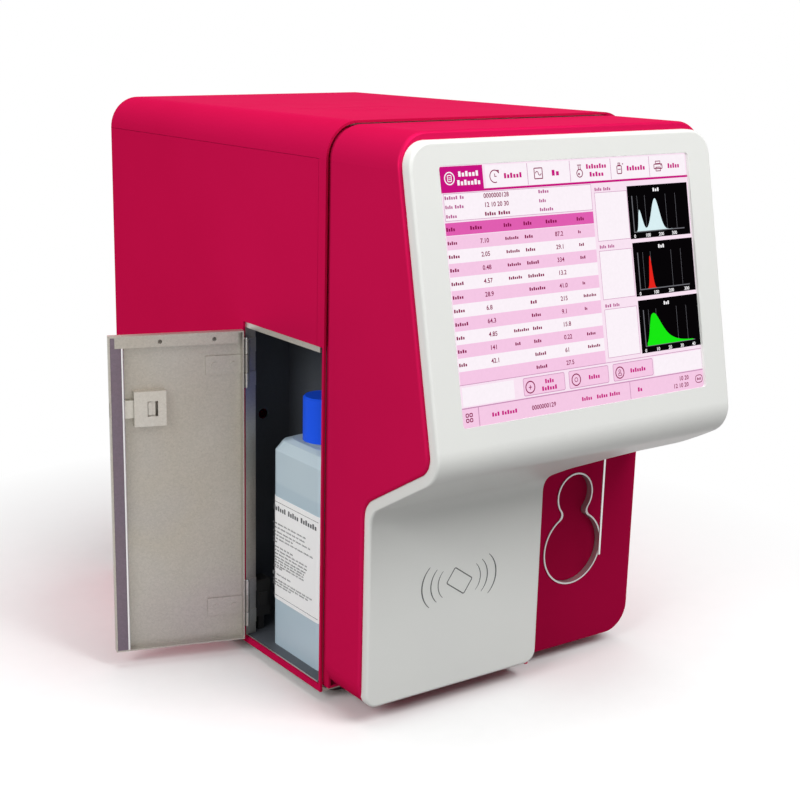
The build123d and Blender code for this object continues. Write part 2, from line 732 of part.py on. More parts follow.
# reagent bottle
with BuildPart() as bottle_outer:
    with BuildSketch(Plane.XY.offset(opening_bottom)):
        with Locations((bottle_x, fy(bottle_s))):
            RectangleRounded(bottle_width, bottle_length, 9)
    extrude(amount=bottle_shoulder - 12 - opening_bottom)
    with BuildSketch(Plane.XY.offset(bottle_shoulder - 12)):
        with Locations((bottle_x, fy(bottle_s))):
            RectangleRounded(bottle_width, bottle_length, 9)
    with BuildSketch(Plane.XY.offset(bottle_shoulder - 3)):
        with Locations((bottle_x, fy(bottle_s))):
            RectangleRounded(bottle_width - 8, bottle_length - 8, 12)
    with BuildSketch(Plane.XY.offset(bottle_shoulder)):
        with Locations((bottle_x, fy(bottle_s))):
            RectangleRounded(bottle_width - 16, bottle_length - 22, 15)
    loft(ruled=True)
with BuildPart() as bottle_inner:
    with BuildSketch(Plane.XY.offset(opening_bottom + bottle_wall)):
        with Locations((bottle_x, fy(bottle_s))):
            RectangleRounded(bottle_width - 2 * bottle_wall, bottle_length - 2 * bottle_wall, 7.5)
    extrude(amount=bottle_shoulder - 13 - opening_bottom - bottle_wall)
    with BuildSketch(Plane.XY.offset(bottle_shoulder - 13)):
        with Locations((bottle_x, fy(bottle_s))):
            RectangleRounded(bottle_width - 2 * bottle_wall, bottle_length - 2 * bottle_wall, 7.5)
    with BuildSketch(Plane.XY.offset(bottle_shoulder - bottle_wall)):
        with Locations((bottle_x, fy(bottle_s))):
            RectangleRounded(bottle_width - 16 - 3, bottle_length - 22 - 3, 13)
    loft(ruled=True)
with BuildPart() as reagent_bottle:
    add(bottle_outer.part)
    with Locations((bottle_x, fy(bottle_s), (bottle_shoulder - 1 + cap_top - 6) / 2)):
        Cylinder(neck_radius, cap_top - 6 - bottle_shoulder + 1)
    # three thread ridges
    for h in (cap_bottom + 10, cap_bottom + 16, cap_bottom + 22):
        with Locations((bottle_x, fy(bottle_s), h)):
            Cylinder(neck_radius + 1.0, 1.6)
    add(bottle_inner.part, mode=Mode.SUBTRACT)
    with Locations((bottle_x, fy(bottle_s), bottle_shoulder + 15)):
        Cylinder(neck_radius - 2, 60, mode=Mode.SUBTRACT)
finish("reagent_bottle", reagent_bottle.part)

with BuildPart() as reagent_fill:
    with BuildSketch(Plane.XY.offset(opening_bottom + bottle_wall)):
        with Locations((bottle_x, fy(bottle_s))):
            RectangleRounded(bottle_width - 2 * bottle_wall - 0.2, bottle_length - 2 * bottle_wall - 0.2, 7.4)
    extrude(amount=150)
finish("reagent_fill", reagent_fill.part)

with BuildPart() as bottle_label:
    with BuildSketch(Plane.XY.offset(opening_bottom + 42.6)):
        with Locations((bottle_x, fy(bottle_s))):
            RectangleRounded(bottle_width + 0.5, bottle_length + 0.5, 9.25)
            RectangleRounded(bottle_width, bottle_length, 9, mode=Mode.SUBTRACT)
    extrude(amount=93.5)
finish("bottle_label", bottle_label.part)

with BuildPart() as bottle_cap:
    with Locations((bottle_x, fy(bottle_s), (cap_bottom + cap_top) / 2)):
        Cylinder(cap_radius, cap_top - cap_bottom)
    chamfer(bottle_cap.edges().group_by(Axis.Z)[-1], 1.5)
    with Locations((bottle_x, fy(bottle_s), (cap_bottom + cap_top - 5.6) / 2 - 0.5)):
        Cylinder(neck_radius + 1.0 + thread_clearance, cap_top - cap_bottom - 5.6 + 1, mode=Mode.SUBTRACT)
finish("bottle_cap", bottle_cap.part)

# aspirate key
trim_outer = keyhole_solid(trim_wall - 0.05, bay_y - trim_proud, trim_proud + cover_wall + 4.0)
trim_inner = keyhole_solid(0, bay_y - 5, 20)
with BuildPart() as key_trim:
    add(trim_outer)
    add(trim_inner, mode=Mode.SUBTRACT)
finish("key_trim", key_trim.part)

key_front = bay_y + key_recess
key_blank = keyhole_solid(-key_clearance, key_front, key_plate)
with BuildPart() as aspirate_key:
    add(key_blank)
    with BuildSketch(Plane.XZ.offset(-fy(key_front + key_plate + 20))):
        with Locations((key_x, key_stem_z)):
            Circle(5.0)
    extrude(amount=20)
finish("aspirate_key", aspirate_key.part)

holder_s = -8.0
with BuildPart() as key_holder:
    with BuildSketch(Plane.XZ.offset(-fy(holder_s + 3))):
        with Locations((key_x, key_stem_z + 2)):
            RectangleRounded(84, 104, 4)
        with Locations((key_x, key_stem_z)):
            Circle(5.06, mode=Mode.SUBTRACT)
    extrude(amount=3)
    with BuildSketch(Plane.XZ.offset(-fy(holder_s))):
        with Locations((key_x, key_stem_z + 2)):
            with GridLocations(74, 92, 2, 2):
                Circle(4)
    extrude(amount=holder_s - bay_y - cover_wall)
    with BuildSketch(Plane.XZ.offset(-fy(holder_s))):
        with Locations((key_x, key_stem_z)):
            Circle(9)
            Circle(5.06, mode=Mode.SUBTRACT)
    extrude(amount=5)
finish("key_holder", key_holder.part)

stem_end = key_front + key_plate + 20
with BuildPart() as key_switch:
    with Locations((key_x, fy((stem_end + 4.0 + neck_length) / 2), key_stem_z)):
        Box(16, neck_length - stem_end - 4.0, 26)
finish("key_switch", key_switch.part)

# sampling probe
carriage_low = probe_base + 42
needle_top = carriage_low + 36
with BuildPart() as probe_needle:
    with Locations((probe_x, fy(probe_s), (needle_tip + needle_top) / 2)):
        Cylinder(needle_radius, needle_top - needle_tip)
    with Locations((probe_x, fy(probe_s), needle_top)):
        Cylinder(3.5, 12)
    with Locations((probe_x, fy(probe_s), needle_top + 10)):
        Cylinder(2.0, 8)
finish("probe_needle", probe_needle.part)

rod_spots = [(probe_x - 13, fy(-20)), (probe_x + 13, fy(-20))]
screw_spot = (probe_x, fy(-12))
with BuildPart() as probe_carriage:
    with BuildSketch(Plane.XY.offset(carriage_low)):
        with Locations((probe_x, fy(-19))):
            Rectangle(38, 26)
        with Locations((probe_x, fy(-40))):
            Rectangle(14, 18)
        with Locations(*rod_spots):
            Circle(rod_radius + rod_clearance, mode=Mode.SUBTRACT)
        with Locations(screw_spot):
            Circle(screw_radius + 0.08, mode=Mode.SUBTRACT)
        with Locations((probe_x, fy(probe_s))):
            Circle(needle_radius + 0.3, mode=Mode.SUBTRACT)
    extrude(amount=30)
finish("probe_carriage", probe_carriage.part)

with BuildPart() as probe_bracket:
    with BuildSketch(Plane.YZ.offset(probe_x - 24)):
        with BuildLine():
            Polyline((fy(neck_length), probe_base), (fy(neck_length), probe_top), (fy(-34), probe_top),
                     (fy(-34), probe_top - 6), (fy(neck_length - 3), probe_top - 6),
                     (fy(neck_length - 3), probe_base + 6), (fy(-34), probe_base + 6), (fy(-34), probe_base),
                     close=True)
        make_face()
    extrude(amount=48)
    with BuildSketch(Plane.XY.offset(probe_base - 10)):
        with Locations(*rod_spots):
            Circle(rod_radius)
        with Locations(screw_spot):
            Circle(screw_radius + 0.08)
    extrude(amount=probe_top - probe_base + 20, mode=Mode.SUBTRACT)
finish("probe_bracket", probe_bracket.part)

with BuildPart() as guide_rods:
    with BuildSketch(Plane.XY.offset(probe_base)):
        with Locations(*rod_spots):
            Circle(rod_radius)
    extrude(amount=probe_top - probe_base)
finish("guide_rods", guide_rods.part)

with BuildPart() as lead_screw:
    with BuildSketch(Plane.XY.offset(probe_base + 1)):
        with Locations(screw_spot):
            Circle(screw_radius)
    extrude(amount=probe_top - probe_base + 4)
finish("lead_screw", lead_screw.part)

with BuildPart() as probe_motor:
    with BuildSketch(Plane.XY.offset(probe_top)):
        with Locations(screw_spot):
            RectangleRounded(40, 40, 4)
    extrude(amount=motor_height)
    with BuildSketch(Plane.XY.offset(probe_top - 1)):
        with Locations(screw_spot):
            Circle(screw_radius + 0.1)
    extrude(amount=7, mode=Mode.SUBTRACT)
finish("probe_motor", probe_motor.part)

with BuildPart() as wash_block:
    with BuildSketch(Plane.XY.offset(probe_base - 2)):
        with Locations((probe_x, fy(-43.5))):
            Rectangle(18, 19)
        with Locations((probe_x, fy(probe_s))):
            Circle(needle_radius + 0.5, mode=Mode.SUBTRACT)
    extrude(amount=14)
finish("wash_block", wash_block.part)

# fluid unit
plate_x = -20.0
chamber_x = 46.0 - half_width
with BuildPart() as fluid_plate:
    with Locations((plate_x - 0.75, fy(180), base_sheet + 150)):
        Box(1.5, 240, 300)
    with Locations((plate_x + 8, fy(180), base_sheet + 0.75)):
        Box(16, 240, 1.5)
finish("fluid_plate", fluid_plate.part)

bath_spots = [(16.0, fy(98)), (16.0, fy(152))]
with BuildPart() as bath_shelf:
    with Locations((plate_x + 27, fy(125), 174)):
        Box(54, 110, 6)
    with Locations(*[(x, y, 174) for x, y in bath_spots]):
        Cylinder(7.0, 10, mode=Mode.SUBTRACT)
finish("bath_shelf", bath_shelf.part)


with BuildPart() as counting_baths:
    with Locations(*[(x, y, 207) for x, y in bath_spots]):
        Cylinder(15, 60)
    with Locations(*[(x, y, 171) for x, y in bath_spots]):
        Cylinder(6.7, 14)
    with Locations(*[(x, y, 212) for x, y in bath_spots]):
        Cylinder(12, 60, mode=Mode.SUBTRACT)
finish("counting_baths", counting_baths.part)

syringe_x = plate_x - 22.0
syringe_spots = [(syringe_x, fy(200)), (syringe_x, fy(232))]
with BuildPart() as syringe_block:
    with Locations((plate_x - 1.5 - 20, fy(216), 190)):
        Box(40, 64, 14)
    with Locations((plate_x - 1.5 - 20, fy(216), 100)):
        Box(40, 64, 10)
    with Locations(*[(x, y, 100) for x, y in syringe_spots]):
        Cylinder(7.05, 12, mode=Mode.SUBTRACT)
finish("syringe_block", syringe_block.part)

with BuildPart() as syringe_barrels:
    with BuildSketch(Plane.XY.offset(105)):
        with Locations(*syringe_spots):
            Circle(9.0)
            Circle(7.05, mode=Mode.SUBTRACT)
    extrude(amount=78)
finish("syringe_barrels", syringe_barrels.part)

with BuildPart() as syringe_plungers:
    with BuildSketch(Plane.XY.offset(70)):
        with Locations(*syringe_spots):
            Circle(4.0)
    extrude(amount=60)
    with BuildSketch(Plane.XY.offset(128)):
        with Locations(*syringe_spots):
            Circle(7.0)
    extrude(amount=8)
    with Locations((syringe_x, fy(216), 67)):
        Box(24, 56, 6)
    with Locations((syringe_x, fy(216), 67)):
        Cylinder(3.3, 10, mode=Mode.SUBTRACT)
finish("syringe_plungers", syringe_plungers.part)

with BuildPart() as syringe_motor:
    with Locations((plate_x - 1.5 - 21, fy(216), base_sheet + 20)):
        Box(42, 42, 40)
    with Locations((syringe_x, fy(216), 68)):
        Cylinder(3.0, 53)
finish("syringe_motor", syringe_motor.part)

with BuildPart() as valve_manifold:
    with Locations((plate_x + 9, fy(240), 110)):
        Box(18, 100, 30)
finish("valve_manifold", valve_manifold.part)

with BuildPart() as solenoid_valves:
    with BuildSketch(Plane.YZ.offset(plate_x + 18)):
        with Locations((fy(240), 110)):
            with GridLocations(19, 0, 5, 1):
                Circle(7.5)
    extrude(amount=30)
finish("solenoid_valves", solenoid_valves.part)

with BuildPart() as vacuum_chamber:
    with Locations((chamber_x, fy(liner_rear + 49), base_sheet + 55)):
        Cylinder(30, 110)
    with Locations((chamber_x, fy(liner_rear + 49), base_sheet + 114)):
        Cylinder(8, 8)
finish("vacuum_chamber", vacuum_chamber.part)

with BuildPart() as waste_pump:
    with Locations((chamber_x, fy(liner_rear + 119), base_sheet + 25)):
        Box(44, 70, 50)
    with Locations((chamber_x, fy(liner_rear + 119), base_sheet + 56)):
        Cylinder(14, 12)
finish("waste_pump", waste_pump.part)

# electronics
board_x = half_width - 15.2
with BuildPart() as board_bracket:
    with Locations((board_x + 5.95, fy(173), base_sheet + 165)):
        Box(1.5, 240, 330)
    with Locations((board_x - 0.3, fy(173), base_sheet + 0.75)):
        Box(11, 240, 1.5)
    with BuildSketch(Plane.YZ.offset(board_x + 0.8)):
        with Locations((fy(173), 220)):
            with GridLocations(200, 180, 2, 2):
                Circle(3)
    extrude(amount=4.4)
finish("board_bracket", board_bracket.part)

with BuildPart() as mainboard:
    with Locations((board_x, fy(173), 220)):
        Box(1.6, 216, 196)
    for y, z, ly, lz in ((110, 250, 38, 38), (190, 270, 28, 28), (150, 180, 20, 50), (230, 180, 46, 14)):
        with Locations((board_x - 4.8, fy(y), z)):
            Box(8, ly, lz)
finish("mainboard", mainboard.part)

with BuildPart() as power_supply:
    with Locations((62, fy(body_depth - 101), base_sheet + 22)):
        Box(84, 140, 44)
finish("power_supply", power_supply.part)

# rear fittings
fan_x, fan_z = fan_spot
with BuildPart() as fan_housing:
    with BuildSketch(Plane.XZ.offset(-fy(body_depth - sheet))):
        with Locations(fan_spot):
            RectangleRounded(80, 80, 4)
            Circle(37.0, mode=Mode.SUBTRACT)
    extrude(amount=25)
    with BuildSketch(Plane.XZ.offset(-fy(body_depth - sheet - 22))):
        with Locations(fan_spot):
            Circle(16)
            Rectangle(76, 4)
            Rectangle(4, 76)
    extrude(amount=3)
    with BuildSketch(Plane.XZ.offset(-fy(body_depth - sheet - 10))):
        with Locations(fan_spot):
            Circle(2.0)
    extrude(amount=14)
finish("fan_housing", fan_housing.part)

with BuildPart() as fan_rotor:
    with BuildSketch(Plane.XZ.offset(-fy(body_depth - sheet - 3))):
        with Locations(fan_spot):
            Circle(17)
    extrude(amount=17)
    for k in range(7):
        blade_angle = radians(k * 360 / 7)
        with Locations(Location((fan_x + 25.5 * cos(blade_angle), fy(body_depth - sheet - 11.5),
                                 fan_z + 25.5 * sin(blade_angle)), (0, -k * 360 / 7, 0))):
            with Locations(Location((0, 0, 0), (32, 0, 0))):
                Box(19.5, 2.0, 17.0)
    with BuildSketch(Plane.XZ.offset(-fy(body_depth - sheet - 8))):
        with Locations(fan_spot):
            Circle(2.06)
    extrude(amount=14, mode=Mode.SUBTRACT)
finish("fan_rotor", fan_rotor.part)

with BuildPart() as fan_grille:
    with BuildSketch(Plane.XZ.offset(-fy(body_depth) - 1.6)):
        with Locations(fan_spot):
            Circle(41)
            Circle(38.6, mode=Mode.SUBTRACT)
            for r in (10, 19, 28):
                Circle(r + 1)
                Circle(r - 1, mode=Mode.SUBTRACT)
            Rectangle(80, 2)
            Rectangle(2, 80)
    extrude(amount=1.6)
finish("fan_grille", fan_grille.part)

with BuildPart() as mains_inlet:
    with BuildSketch(Plane.XZ.offset(-fy(body_depth) - 3)):
        with Locations(inlet_spot):
            RectangleRounded(48, 27, 3)
    extrude(amount=3)
    with BuildSketch(Plane.XZ.offset(-fy(body_depth))):
        with Locations(inlet_spot):
            Rectangle(28, 20)
    extrude(amount=20)
    with BuildSketch(Plane.XZ.offset(-fy(body_depth) - 3)):
        with Locations(inlet_spot):
            RectangleRounded(24.6, 16.4, 2.5)
    extrude(amount=18, mode=Mode.SUBTRACT)
    with BuildSketch(Plane.XZ.offset(-fy(body_depth) + 15.5)):
        with Locations(inlet_spot):
            with Locations((0, 3), (-7, -2), (7, -2)):
                Rectangle(2, 4)
    extrude(amount=-12)
finish("mains_inlet", mains_inlet.part)

with BuildPart() as rocker_frame:
    with BuildSketch(Plane.XZ.offset(-fy(body_depth) - 2)):
        with Locations(rocker_spot):
            RectangleRounded(19, 25, 2)
            Rectangle(10.6, 16.6, mode=Mode.SUBTRACT)
    extrude(amount=2)
    with BuildSketch(Plane.XZ.offset(-fy(body_depth))):
        with Locations(rocker_spot):
            Rectangle(13, 19)
            Rectangle(10.6, 16.6, mode=Mode.SUBTRACT)
    extrude(amount=14)
    with BuildSketch(Plane.XZ.offset(-fy(body_depth) + 12)):
        with Locations(rocker_spot):
            Rectangle(13, 19)
    extrude(amount=4)
    with BuildSketch(Plane.YZ.offset(rocker_spot[0] - 6.05)):
        with Locations((fy(body_depth - 2.4), rocker_spot[1])):
            Circle(0.86)
    extrude(amount=12.1, mode=Mode.SUBTRACT)
finish("rocker_frame", rocker_frame.part)

rocker_pivot_s = body_depth - 1.0
with BuildPart() as rocker_switch:
    with BuildSketch(Plane.YZ.offset(rocker_spot[0] - 5.0)):
        with BuildLine():
            Polyline((fy(rocker_pivot_s + 2.6), rocker_spot[1] + 8.0), (fy(rocker_pivot_s + 1.0), rocker_spot[1]),
                     (fy(rocker_pivot_s + 4.6), rocker_spot[1] - 6.6),
                     (fy(rocker_pivot_s + 0.6), rocker_spot[1] - 7.2),
                     (fy(rocker_pivot_s - 3), rocker_spot[1] - 3), (fy(rocker_pivot_s - 3), rocker_spot[1] + 3),
                     (fy(rocker_pivot_s - 1.2), rocker_spot[1] + 8.0), close=True)
        make_face()
    extrude(amount=10.0)
    with BuildSketch(Plane.YZ.offset(rocker_spot[0] - 6.0)):
        with Locations((fy(rocker_pivot_s - 1.4), rocker_spot[1])):
            Circle(0.8)
    extrude(amount=12.0)
finish("rocker_switch", rocker_switch.part)

with BuildPart() as fluid_ports:
    with BuildSketch(Plane.XZ.offset(-fy(body_depth) - 4)):
        with Locations(*port_spots):
            RegularPolygon(7.5, 6)
    extrude(amount=4)
    with BuildSketch(Plane.XZ.offset(-fy(body_depth) - 18)):
        with Locations(*port_spots):
            Circle(3.2)
    extrude(amount=15)
    for depth in (8, 12, 16):
        with BuildSketch(Plane.XZ.offset(-fy(body_depth) - depth)):
            with Locations(*port_spots):
                Circle(3.9)
        extrude(amount=1.6)
    with BuildSketch(Plane.XZ.offset(-fy(body_depth))):
        with Locations(*port_spots):
            Circle(4.5)
    extrude(amount=12)
    with BuildSketch(Plane.XZ.offset(-fy(body_depth) - 18)):
        with Locations(*port_spots):
            Circle(1.9)
    extrude(amount=30, mode=Mode.SUBTRACT)
finish("fluid_ports", fluid_ports.part)

with BuildPart() as data_sockets:
    with BuildSketch(Plane.XZ.offset(-fy(body_depth) - 1)):
        with Locations(*data_spots):
            Rectangle(16, 13)
            Rectangle(12.5, 9.5, mode=Mode.SUBTRACT)
    extrude(amount=14)
    with BuildSketch(Plane.XZ.offset(-fy(body_depth) + 11)):
        with Locations(*data_spots):
            Rectangle(16, 13)
    extrude(amount=3)
    with BuildSketch(Plane.XZ.offset(-fy(body_depth) + sheet)):
        with Locations(*data_spots):
            Rectangle(20, 17)
            Rectangle(16, 13, mode=Mode.SUBTRACT)
    extrude(amount=1.5)
finish("data_sockets", data_sockets.part)
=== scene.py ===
"""Looks of the hematology analyzer: paints, metals and plastics, the front bezel's shell, the folded edge of
the reagent door, the picture on the screen, the card mark and the bottle label's lines. Pieces are laid out
in millimetres and end up in metres, in the same frame as the solids."""
import math

import bmesh
import bpy
from mathutils import Matrix, Vector


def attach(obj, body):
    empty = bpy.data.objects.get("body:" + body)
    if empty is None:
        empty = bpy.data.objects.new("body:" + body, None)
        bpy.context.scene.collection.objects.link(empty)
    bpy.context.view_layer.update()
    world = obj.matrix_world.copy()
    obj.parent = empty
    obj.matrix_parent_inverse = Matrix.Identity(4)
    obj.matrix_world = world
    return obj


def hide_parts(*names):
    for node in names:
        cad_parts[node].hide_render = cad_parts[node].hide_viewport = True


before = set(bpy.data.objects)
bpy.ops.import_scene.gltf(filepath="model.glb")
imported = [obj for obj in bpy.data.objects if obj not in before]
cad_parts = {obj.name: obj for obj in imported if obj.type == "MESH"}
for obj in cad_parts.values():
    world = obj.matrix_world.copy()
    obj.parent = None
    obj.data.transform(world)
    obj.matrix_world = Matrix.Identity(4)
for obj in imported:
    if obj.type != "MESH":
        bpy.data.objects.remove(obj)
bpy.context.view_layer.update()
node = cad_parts
bpy.ops.object.select_all(action="DESELECT")

MM = 0.001
# depth of the joint between the case and its front cover; depths of the front are measured from it
SEAM = -188.0

# screen plane, in millimetres: the face leans back by this depth for each unit of height
LEAN = 0.21
TILT = math.atan(LEAN)
FACE_DEPTH = -112.8
FACE_HEIGHT = 344.65
SCREEN_MIDDLE = (0.0, SEAM + FACE_DEPTH, FACE_HEIGHT)
GLASS_DEPTH = 2.5
SCREEN_WIDE = 248.4
SCREEN_HIGH = 187.0


def srgb(red, green, blue):
    """Linear colour of an 8-bit screen colour."""
    def linear(value):
        value = value / 255
        return value / 12.92 if value <= 0.04045 else ((value + 0.055) / 1.055) ** 2.4
    return (linear(red), linear(green), linear(blue), 1.0)


# shader maths
class Value:
    """A socket on which the usual operators add Math nodes."""

    def __init__(self, paint, socket):
        self.paint = paint
        self.socket = socket

    def maths(self, operation, first, second=None):
        inputs = {0: first} if second is None else {0: first, 1: second}
        return self.paint.add("ShaderNodeMath", {"operation": operation}, inputs)

    def __add__(self, other):
        return self.maths("ADD", self, other)

    def __radd__(self, other):
        return self.maths("ADD", other, self)

    def __sub__(self, other):
        return self.maths("SUBTRACT", self, other)

    def __rsub__(self, other):
        return self.maths("SUBTRACT", other, self)

    def __mul__(self, other):
        return self.maths("MULTIPLY", self, other)

    def __rmul__(self, other):
        return self.maths("MULTIPLY", other, self)

    def above(self, edge):
        return self.maths("GREATER_THAN", self, edge)

    def below(self, edge):
        return self.maths("LESS_THAN", self, edge)


class Paint:
    """A material under construction."""

    def __init__(self, name):
        self.material = bpy.data.materials.new(name)
        self.material.use_nodes = True
        self.tree = self.material.node_tree
        self.tree.nodes.clear()
        self.place = self.add("ShaderNodeTexCoord", out="Object")

    def add(self, kind, settings=None, inputs=None, out=0):
        """A node of a kind, with its settings, and values or links on its sockets."""
        made = self.tree.nodes.new(kind)
        for key, value in (settings or {}).items():
            if key == "stops":
                ramp = made.color_ramp
                while len(ramp.elements) < len(value):
                    ramp.elements.new(0.5)
                for element, (position, colour) in zip(ramp.elements, value):
                    element.position = position
                    element.color = colour
            elif key == "interpolation":
                made.color_ramp.interpolation = value
            else:
                setattr(made, key, value)
        for key, value in (inputs or {}).items():
            if isinstance(value, Value):
                self.tree.links.new(value.socket, made.inputs[key])
            elif value is not None:
                made.inputs[key].default_value = value
        return Value(self, made.outputs[out])

    def stretched(self, scale, turn=(0, 0, 0)):
        """Object coordinates scaled apart along the axes."""
        return self.add("ShaderNodeMapping", {"vector_type": "POINT"},
                        {"Vector": self.place, "Rotation": turn, "Scale": scale})

    def noise(self, scale, detail=2.0, roughness=0.5, place=None):
        return self.add("ShaderNodeTexNoise", None,
                        {"Vector": place or self.place, "Scale": scale,
                         "Detail": detail, "Roughness": roughness})

    def cells(self, scale, place=None, out="Color"):
        return self.add("ShaderNodeTexVoronoi", {"feature": "F1"},
                        {"Vector": place or self.place, "Scale": scale}, out=out)

    def ramp(self, value, stops, interpolation="LINEAR"):
        return self.add("ShaderNodeValToRGB",
                        {"stops": stops, "interpolation": interpolation}, {"Fac": value})

    def spread(self, value, low, high, to_low, to_high):
        """Maps a value from one range to another and holds it there."""
        return self.add("ShaderNodeMapRange", None, {"Value": value, "From Min": low, "From Max": high,
                                                     "To Min": to_low, "To Max": to_high})

    def mottle(self, value):
        """Stretches the middle of a noise's range to the whole of nothing to one."""
        return self.spread(value, 0.3, 0.7, 0.0, 1.0)

    def blend(self, share, first, second, kind="MIX"):
        return self.add("ShaderNodeMix", {"data_type": "RGBA", "blend_type": kind},
                        {"Factor": share, 6: first, 7: second}, out=2)

    def axes(self):
        """The three Object coordinates as values."""
        made = self.tree.nodes.new("ShaderNodeSeparateXYZ")
        self.tree.links.new(self.place.socket, made.inputs[0])
        return [Value(self, socket) for socket in made.outputs]

    def bump(self, height, strength, distance, under=None):
        return self.add("ShaderNodeBump", None,
                        {"Height": height, "Strength": strength, "Distance": distance, "Normal": under})

    def finish(self, colour, roughness, bump=None, **constants):
        """Closes the material with one Principled shader."""
        inputs = {"Base Color": colour, "Roughness": roughness, "Normal": bump}
        inputs.update({key.replace("_", " "): value for key, value in constants.items()})
        shader = self.add("ShaderNodeBsdfPrincipled", None, inputs, out="BSDF")
        self.add_output(shader)
        return self.material

    def add_output(self, shader):
        made = self.tree.nodes.new("ShaderNodeOutputMaterial")
        self.tree.links.new(shader.socket, made.inputs["Surface"])


def grey(level):
    return (level, level, level, 1.0)


def lacquer(name, colour, shade, roughness, peel=0.02, sheen=0.3, tint=(1, 1, 1, 1), metallic=0.0):
    """Sprayed or moulded colour with a faint orange-peel skin and slow drifts of tone and gloss."""
    paint = Paint(name)
    drift = paint.noise(9.0, 2.0)
    fine = paint.noise(520.0, 1.0)
    handled = paint.noise(22.0, 2.0)
    tone = paint.blend(paint.mottle(drift), shade, colour)
    gloss = paint.spread(handled, 0.25, 0.75, roughness - 0.025, roughness + 0.025)
    skin = paint.bump(fine, peel, 0.0003)
    return paint.finish(tone, gloss, skin, Specular_IOR_Level=sheen, Specular_Tint=tint, Metallic=metallic)


def moulded(name, colour, shade, roughness, grain=0.16, scale=1900.0, metallic=0.0):
    """Plastic with a spark-eroded grain."""
    paint = Paint(name)
    grain_height = paint.noise(scale, 3.0, 0.65)
    patch = paint.noise(26.0, 3.0)
    tone = paint.blend(paint.mottle(patch), shade, colour)
    gloss = paint.spread(grain_height, 0.3, 0.7, roughness - 0.06, roughness + 0.08)
    return paint.finish(tone, gloss, paint.bump(grain_height, grain, 0.0004), Metallic=metallic)


def drawn_metal(name, colour, shade, roughness, along, grain=0.08):
    """Turned, ground or extruded metal, its fine lines running along one axis."""
    paint = Paint(name)
    scale = [1.0, 1.0, 1.0]
    scale[along] = 0.03
    lines = paint.noise(1500.0, 3.0, 0.6, paint.stretched(tuple(scale)))
    cloud = paint.noise(45.0, 3.0)
    tone = paint.blend(paint.mottle(lines), shade, colour)
    gloss = paint.spread(cloud, 0.3, 0.7, roughness - 0.06, roughness + 0.1)
    return paint.finish(tone, gloss, paint.bump(lines, grain, 0.0002), Metallic=1.0)


# across, where the skin of the closed reagent door lies; the photographed door is swung open about its hinge
DOOR_SKIN_X = -154.0
HINGE_LINE = (-153.2, SEAM + 125.0, 0.0)
DOOR_OPEN = math.radians(-107)
# the paint on the door's outside reaches this far in from the skin's outer face
PAINT_REACH = 0.5
PAINTED_METALLIC = 0.3


def zinc_sheet(name, colour, shade, tarnish, roughness, metallic=0.75, painted=None):
    """Zinc-coated sheet with small crystals, dark specks and a faint film; painted is the colour of the
    door's outside."""
    paint = Paint(name)
    crystal = paint.add("ShaderNodeSeparateColor", None, {"Color": paint.cells(760.0)})
    specks = paint.noise(1150.0, 4.0, 0.7)
    cloud = paint.noise(14.0, 4.0, 0.55)
    film = paint.ramp(paint.noise(7.0, 2.0),
                      [(0.30, (0.95, 0.86, 1.0, 1)), (0.42, (1.0, 1.0, 1.0, 1)), (0.55, (1.0, 0.97, 0.88, 1)),
                       (0.64, (1.0, 1.0, 1.0, 1)), (0.75, (0.88, 0.97, 0.96, 1))])
    tone = paint.blend(paint.spread(crystal, 0.0, 1.0, 0.25, 0.75), shade, colour)
    tone = paint.blend(paint.spread(specks, 0.56, 0.72, 0.0, 0.4), tone, tarnish)
    tone = paint.blend(0.5, tone, film, "MULTIPLY")
    gloss = paint.spread(cloud, 0.3, 0.7, roughness - 0.08, roughness + 0.1)
    skin = paint.bump(specks, 0.12, 0.0003)
    if painted:
        x, y, z = paint.axes()
        # how far across from the hinge a point lies once the door is swung shut
        closed_x = ((x - HINGE_LINE[0] * MM) * math.cos(DOOR_OPEN)
                    + (y - HINGE_LINE[1] * MM) * math.sin(DOOR_OPEN))
        outside = closed_x.below((DOOR_SKIN_X - HINGE_LINE[0] + PAINT_REACH) * MM)
        tone = paint.blend(outside, tone, painted)
        return paint.finish(tone, gloss, skin, Specular_IOR_Level=0.1,
                            Metallic=metallic - (metallic - PAINTED_METALLIC) * outside)
    return paint.finish(tone, gloss, skin, Metallic=metallic)


# camera and light
CAMERA_PLACE = (-0.7659, -1.1081, 0.5343)
CAMERA_TURN = math.radians(-33.35)
CAMERA_LIFT = math.radians(15.0)
CAMERA_ROLL = math.radians(0.61)
# focal length and width of the picture in pixels, and the lens shift as shares of its width
CAMERA_FOCUS = 1469.6
PHOTO_WIDE = 800
SENSOR_WIDE = 36.0
CAMERA_SHIFT = (0.1, 0.0175)


def make_camera():
    back = Vector((math.sin(CAMERA_TURN) * math.cos(CAMERA_LIFT),
                   -math.cos(CAMERA_TURN) * math.cos(CAMERA_LIFT), math.sin(CAMERA_LIFT)))
    right = (-back).cross(Vector((0, 0, 1))).normalized()
    up = right.cross(-back)
    right_rolled = math.cos(CAMERA_ROLL) * right + math.sin(CAMERA_ROLL) * up
    up_rolled = -math.sin(CAMERA_ROLL) * right + math.cos(CAMERA_ROLL) * up
    bpy.ops.object.camera_add()
    camera = bpy.context.object
    camera.name = "photo_camera"
    turn = Matrix((right_rolled, up_rolled, back)).transposed().to_4x4()
    camera.matrix_world = Matrix.Translation(CAMERA_PLACE) @ turn
    camera.data.sensor_width = SENSOR_WIDE
    camera.data.lens = CAMERA_FOCUS / PHOTO_WIDE * SENSOR_WIDE
    camera.data.shift_x = CAMERA_SHIFT[0]
    camera.data.shift_y = CAMERA_SHIFT[1]
    camera.data.clip_end = 50.0
    camera.data.dof.use_dof = False
    bpy.context.scene.camera = camera


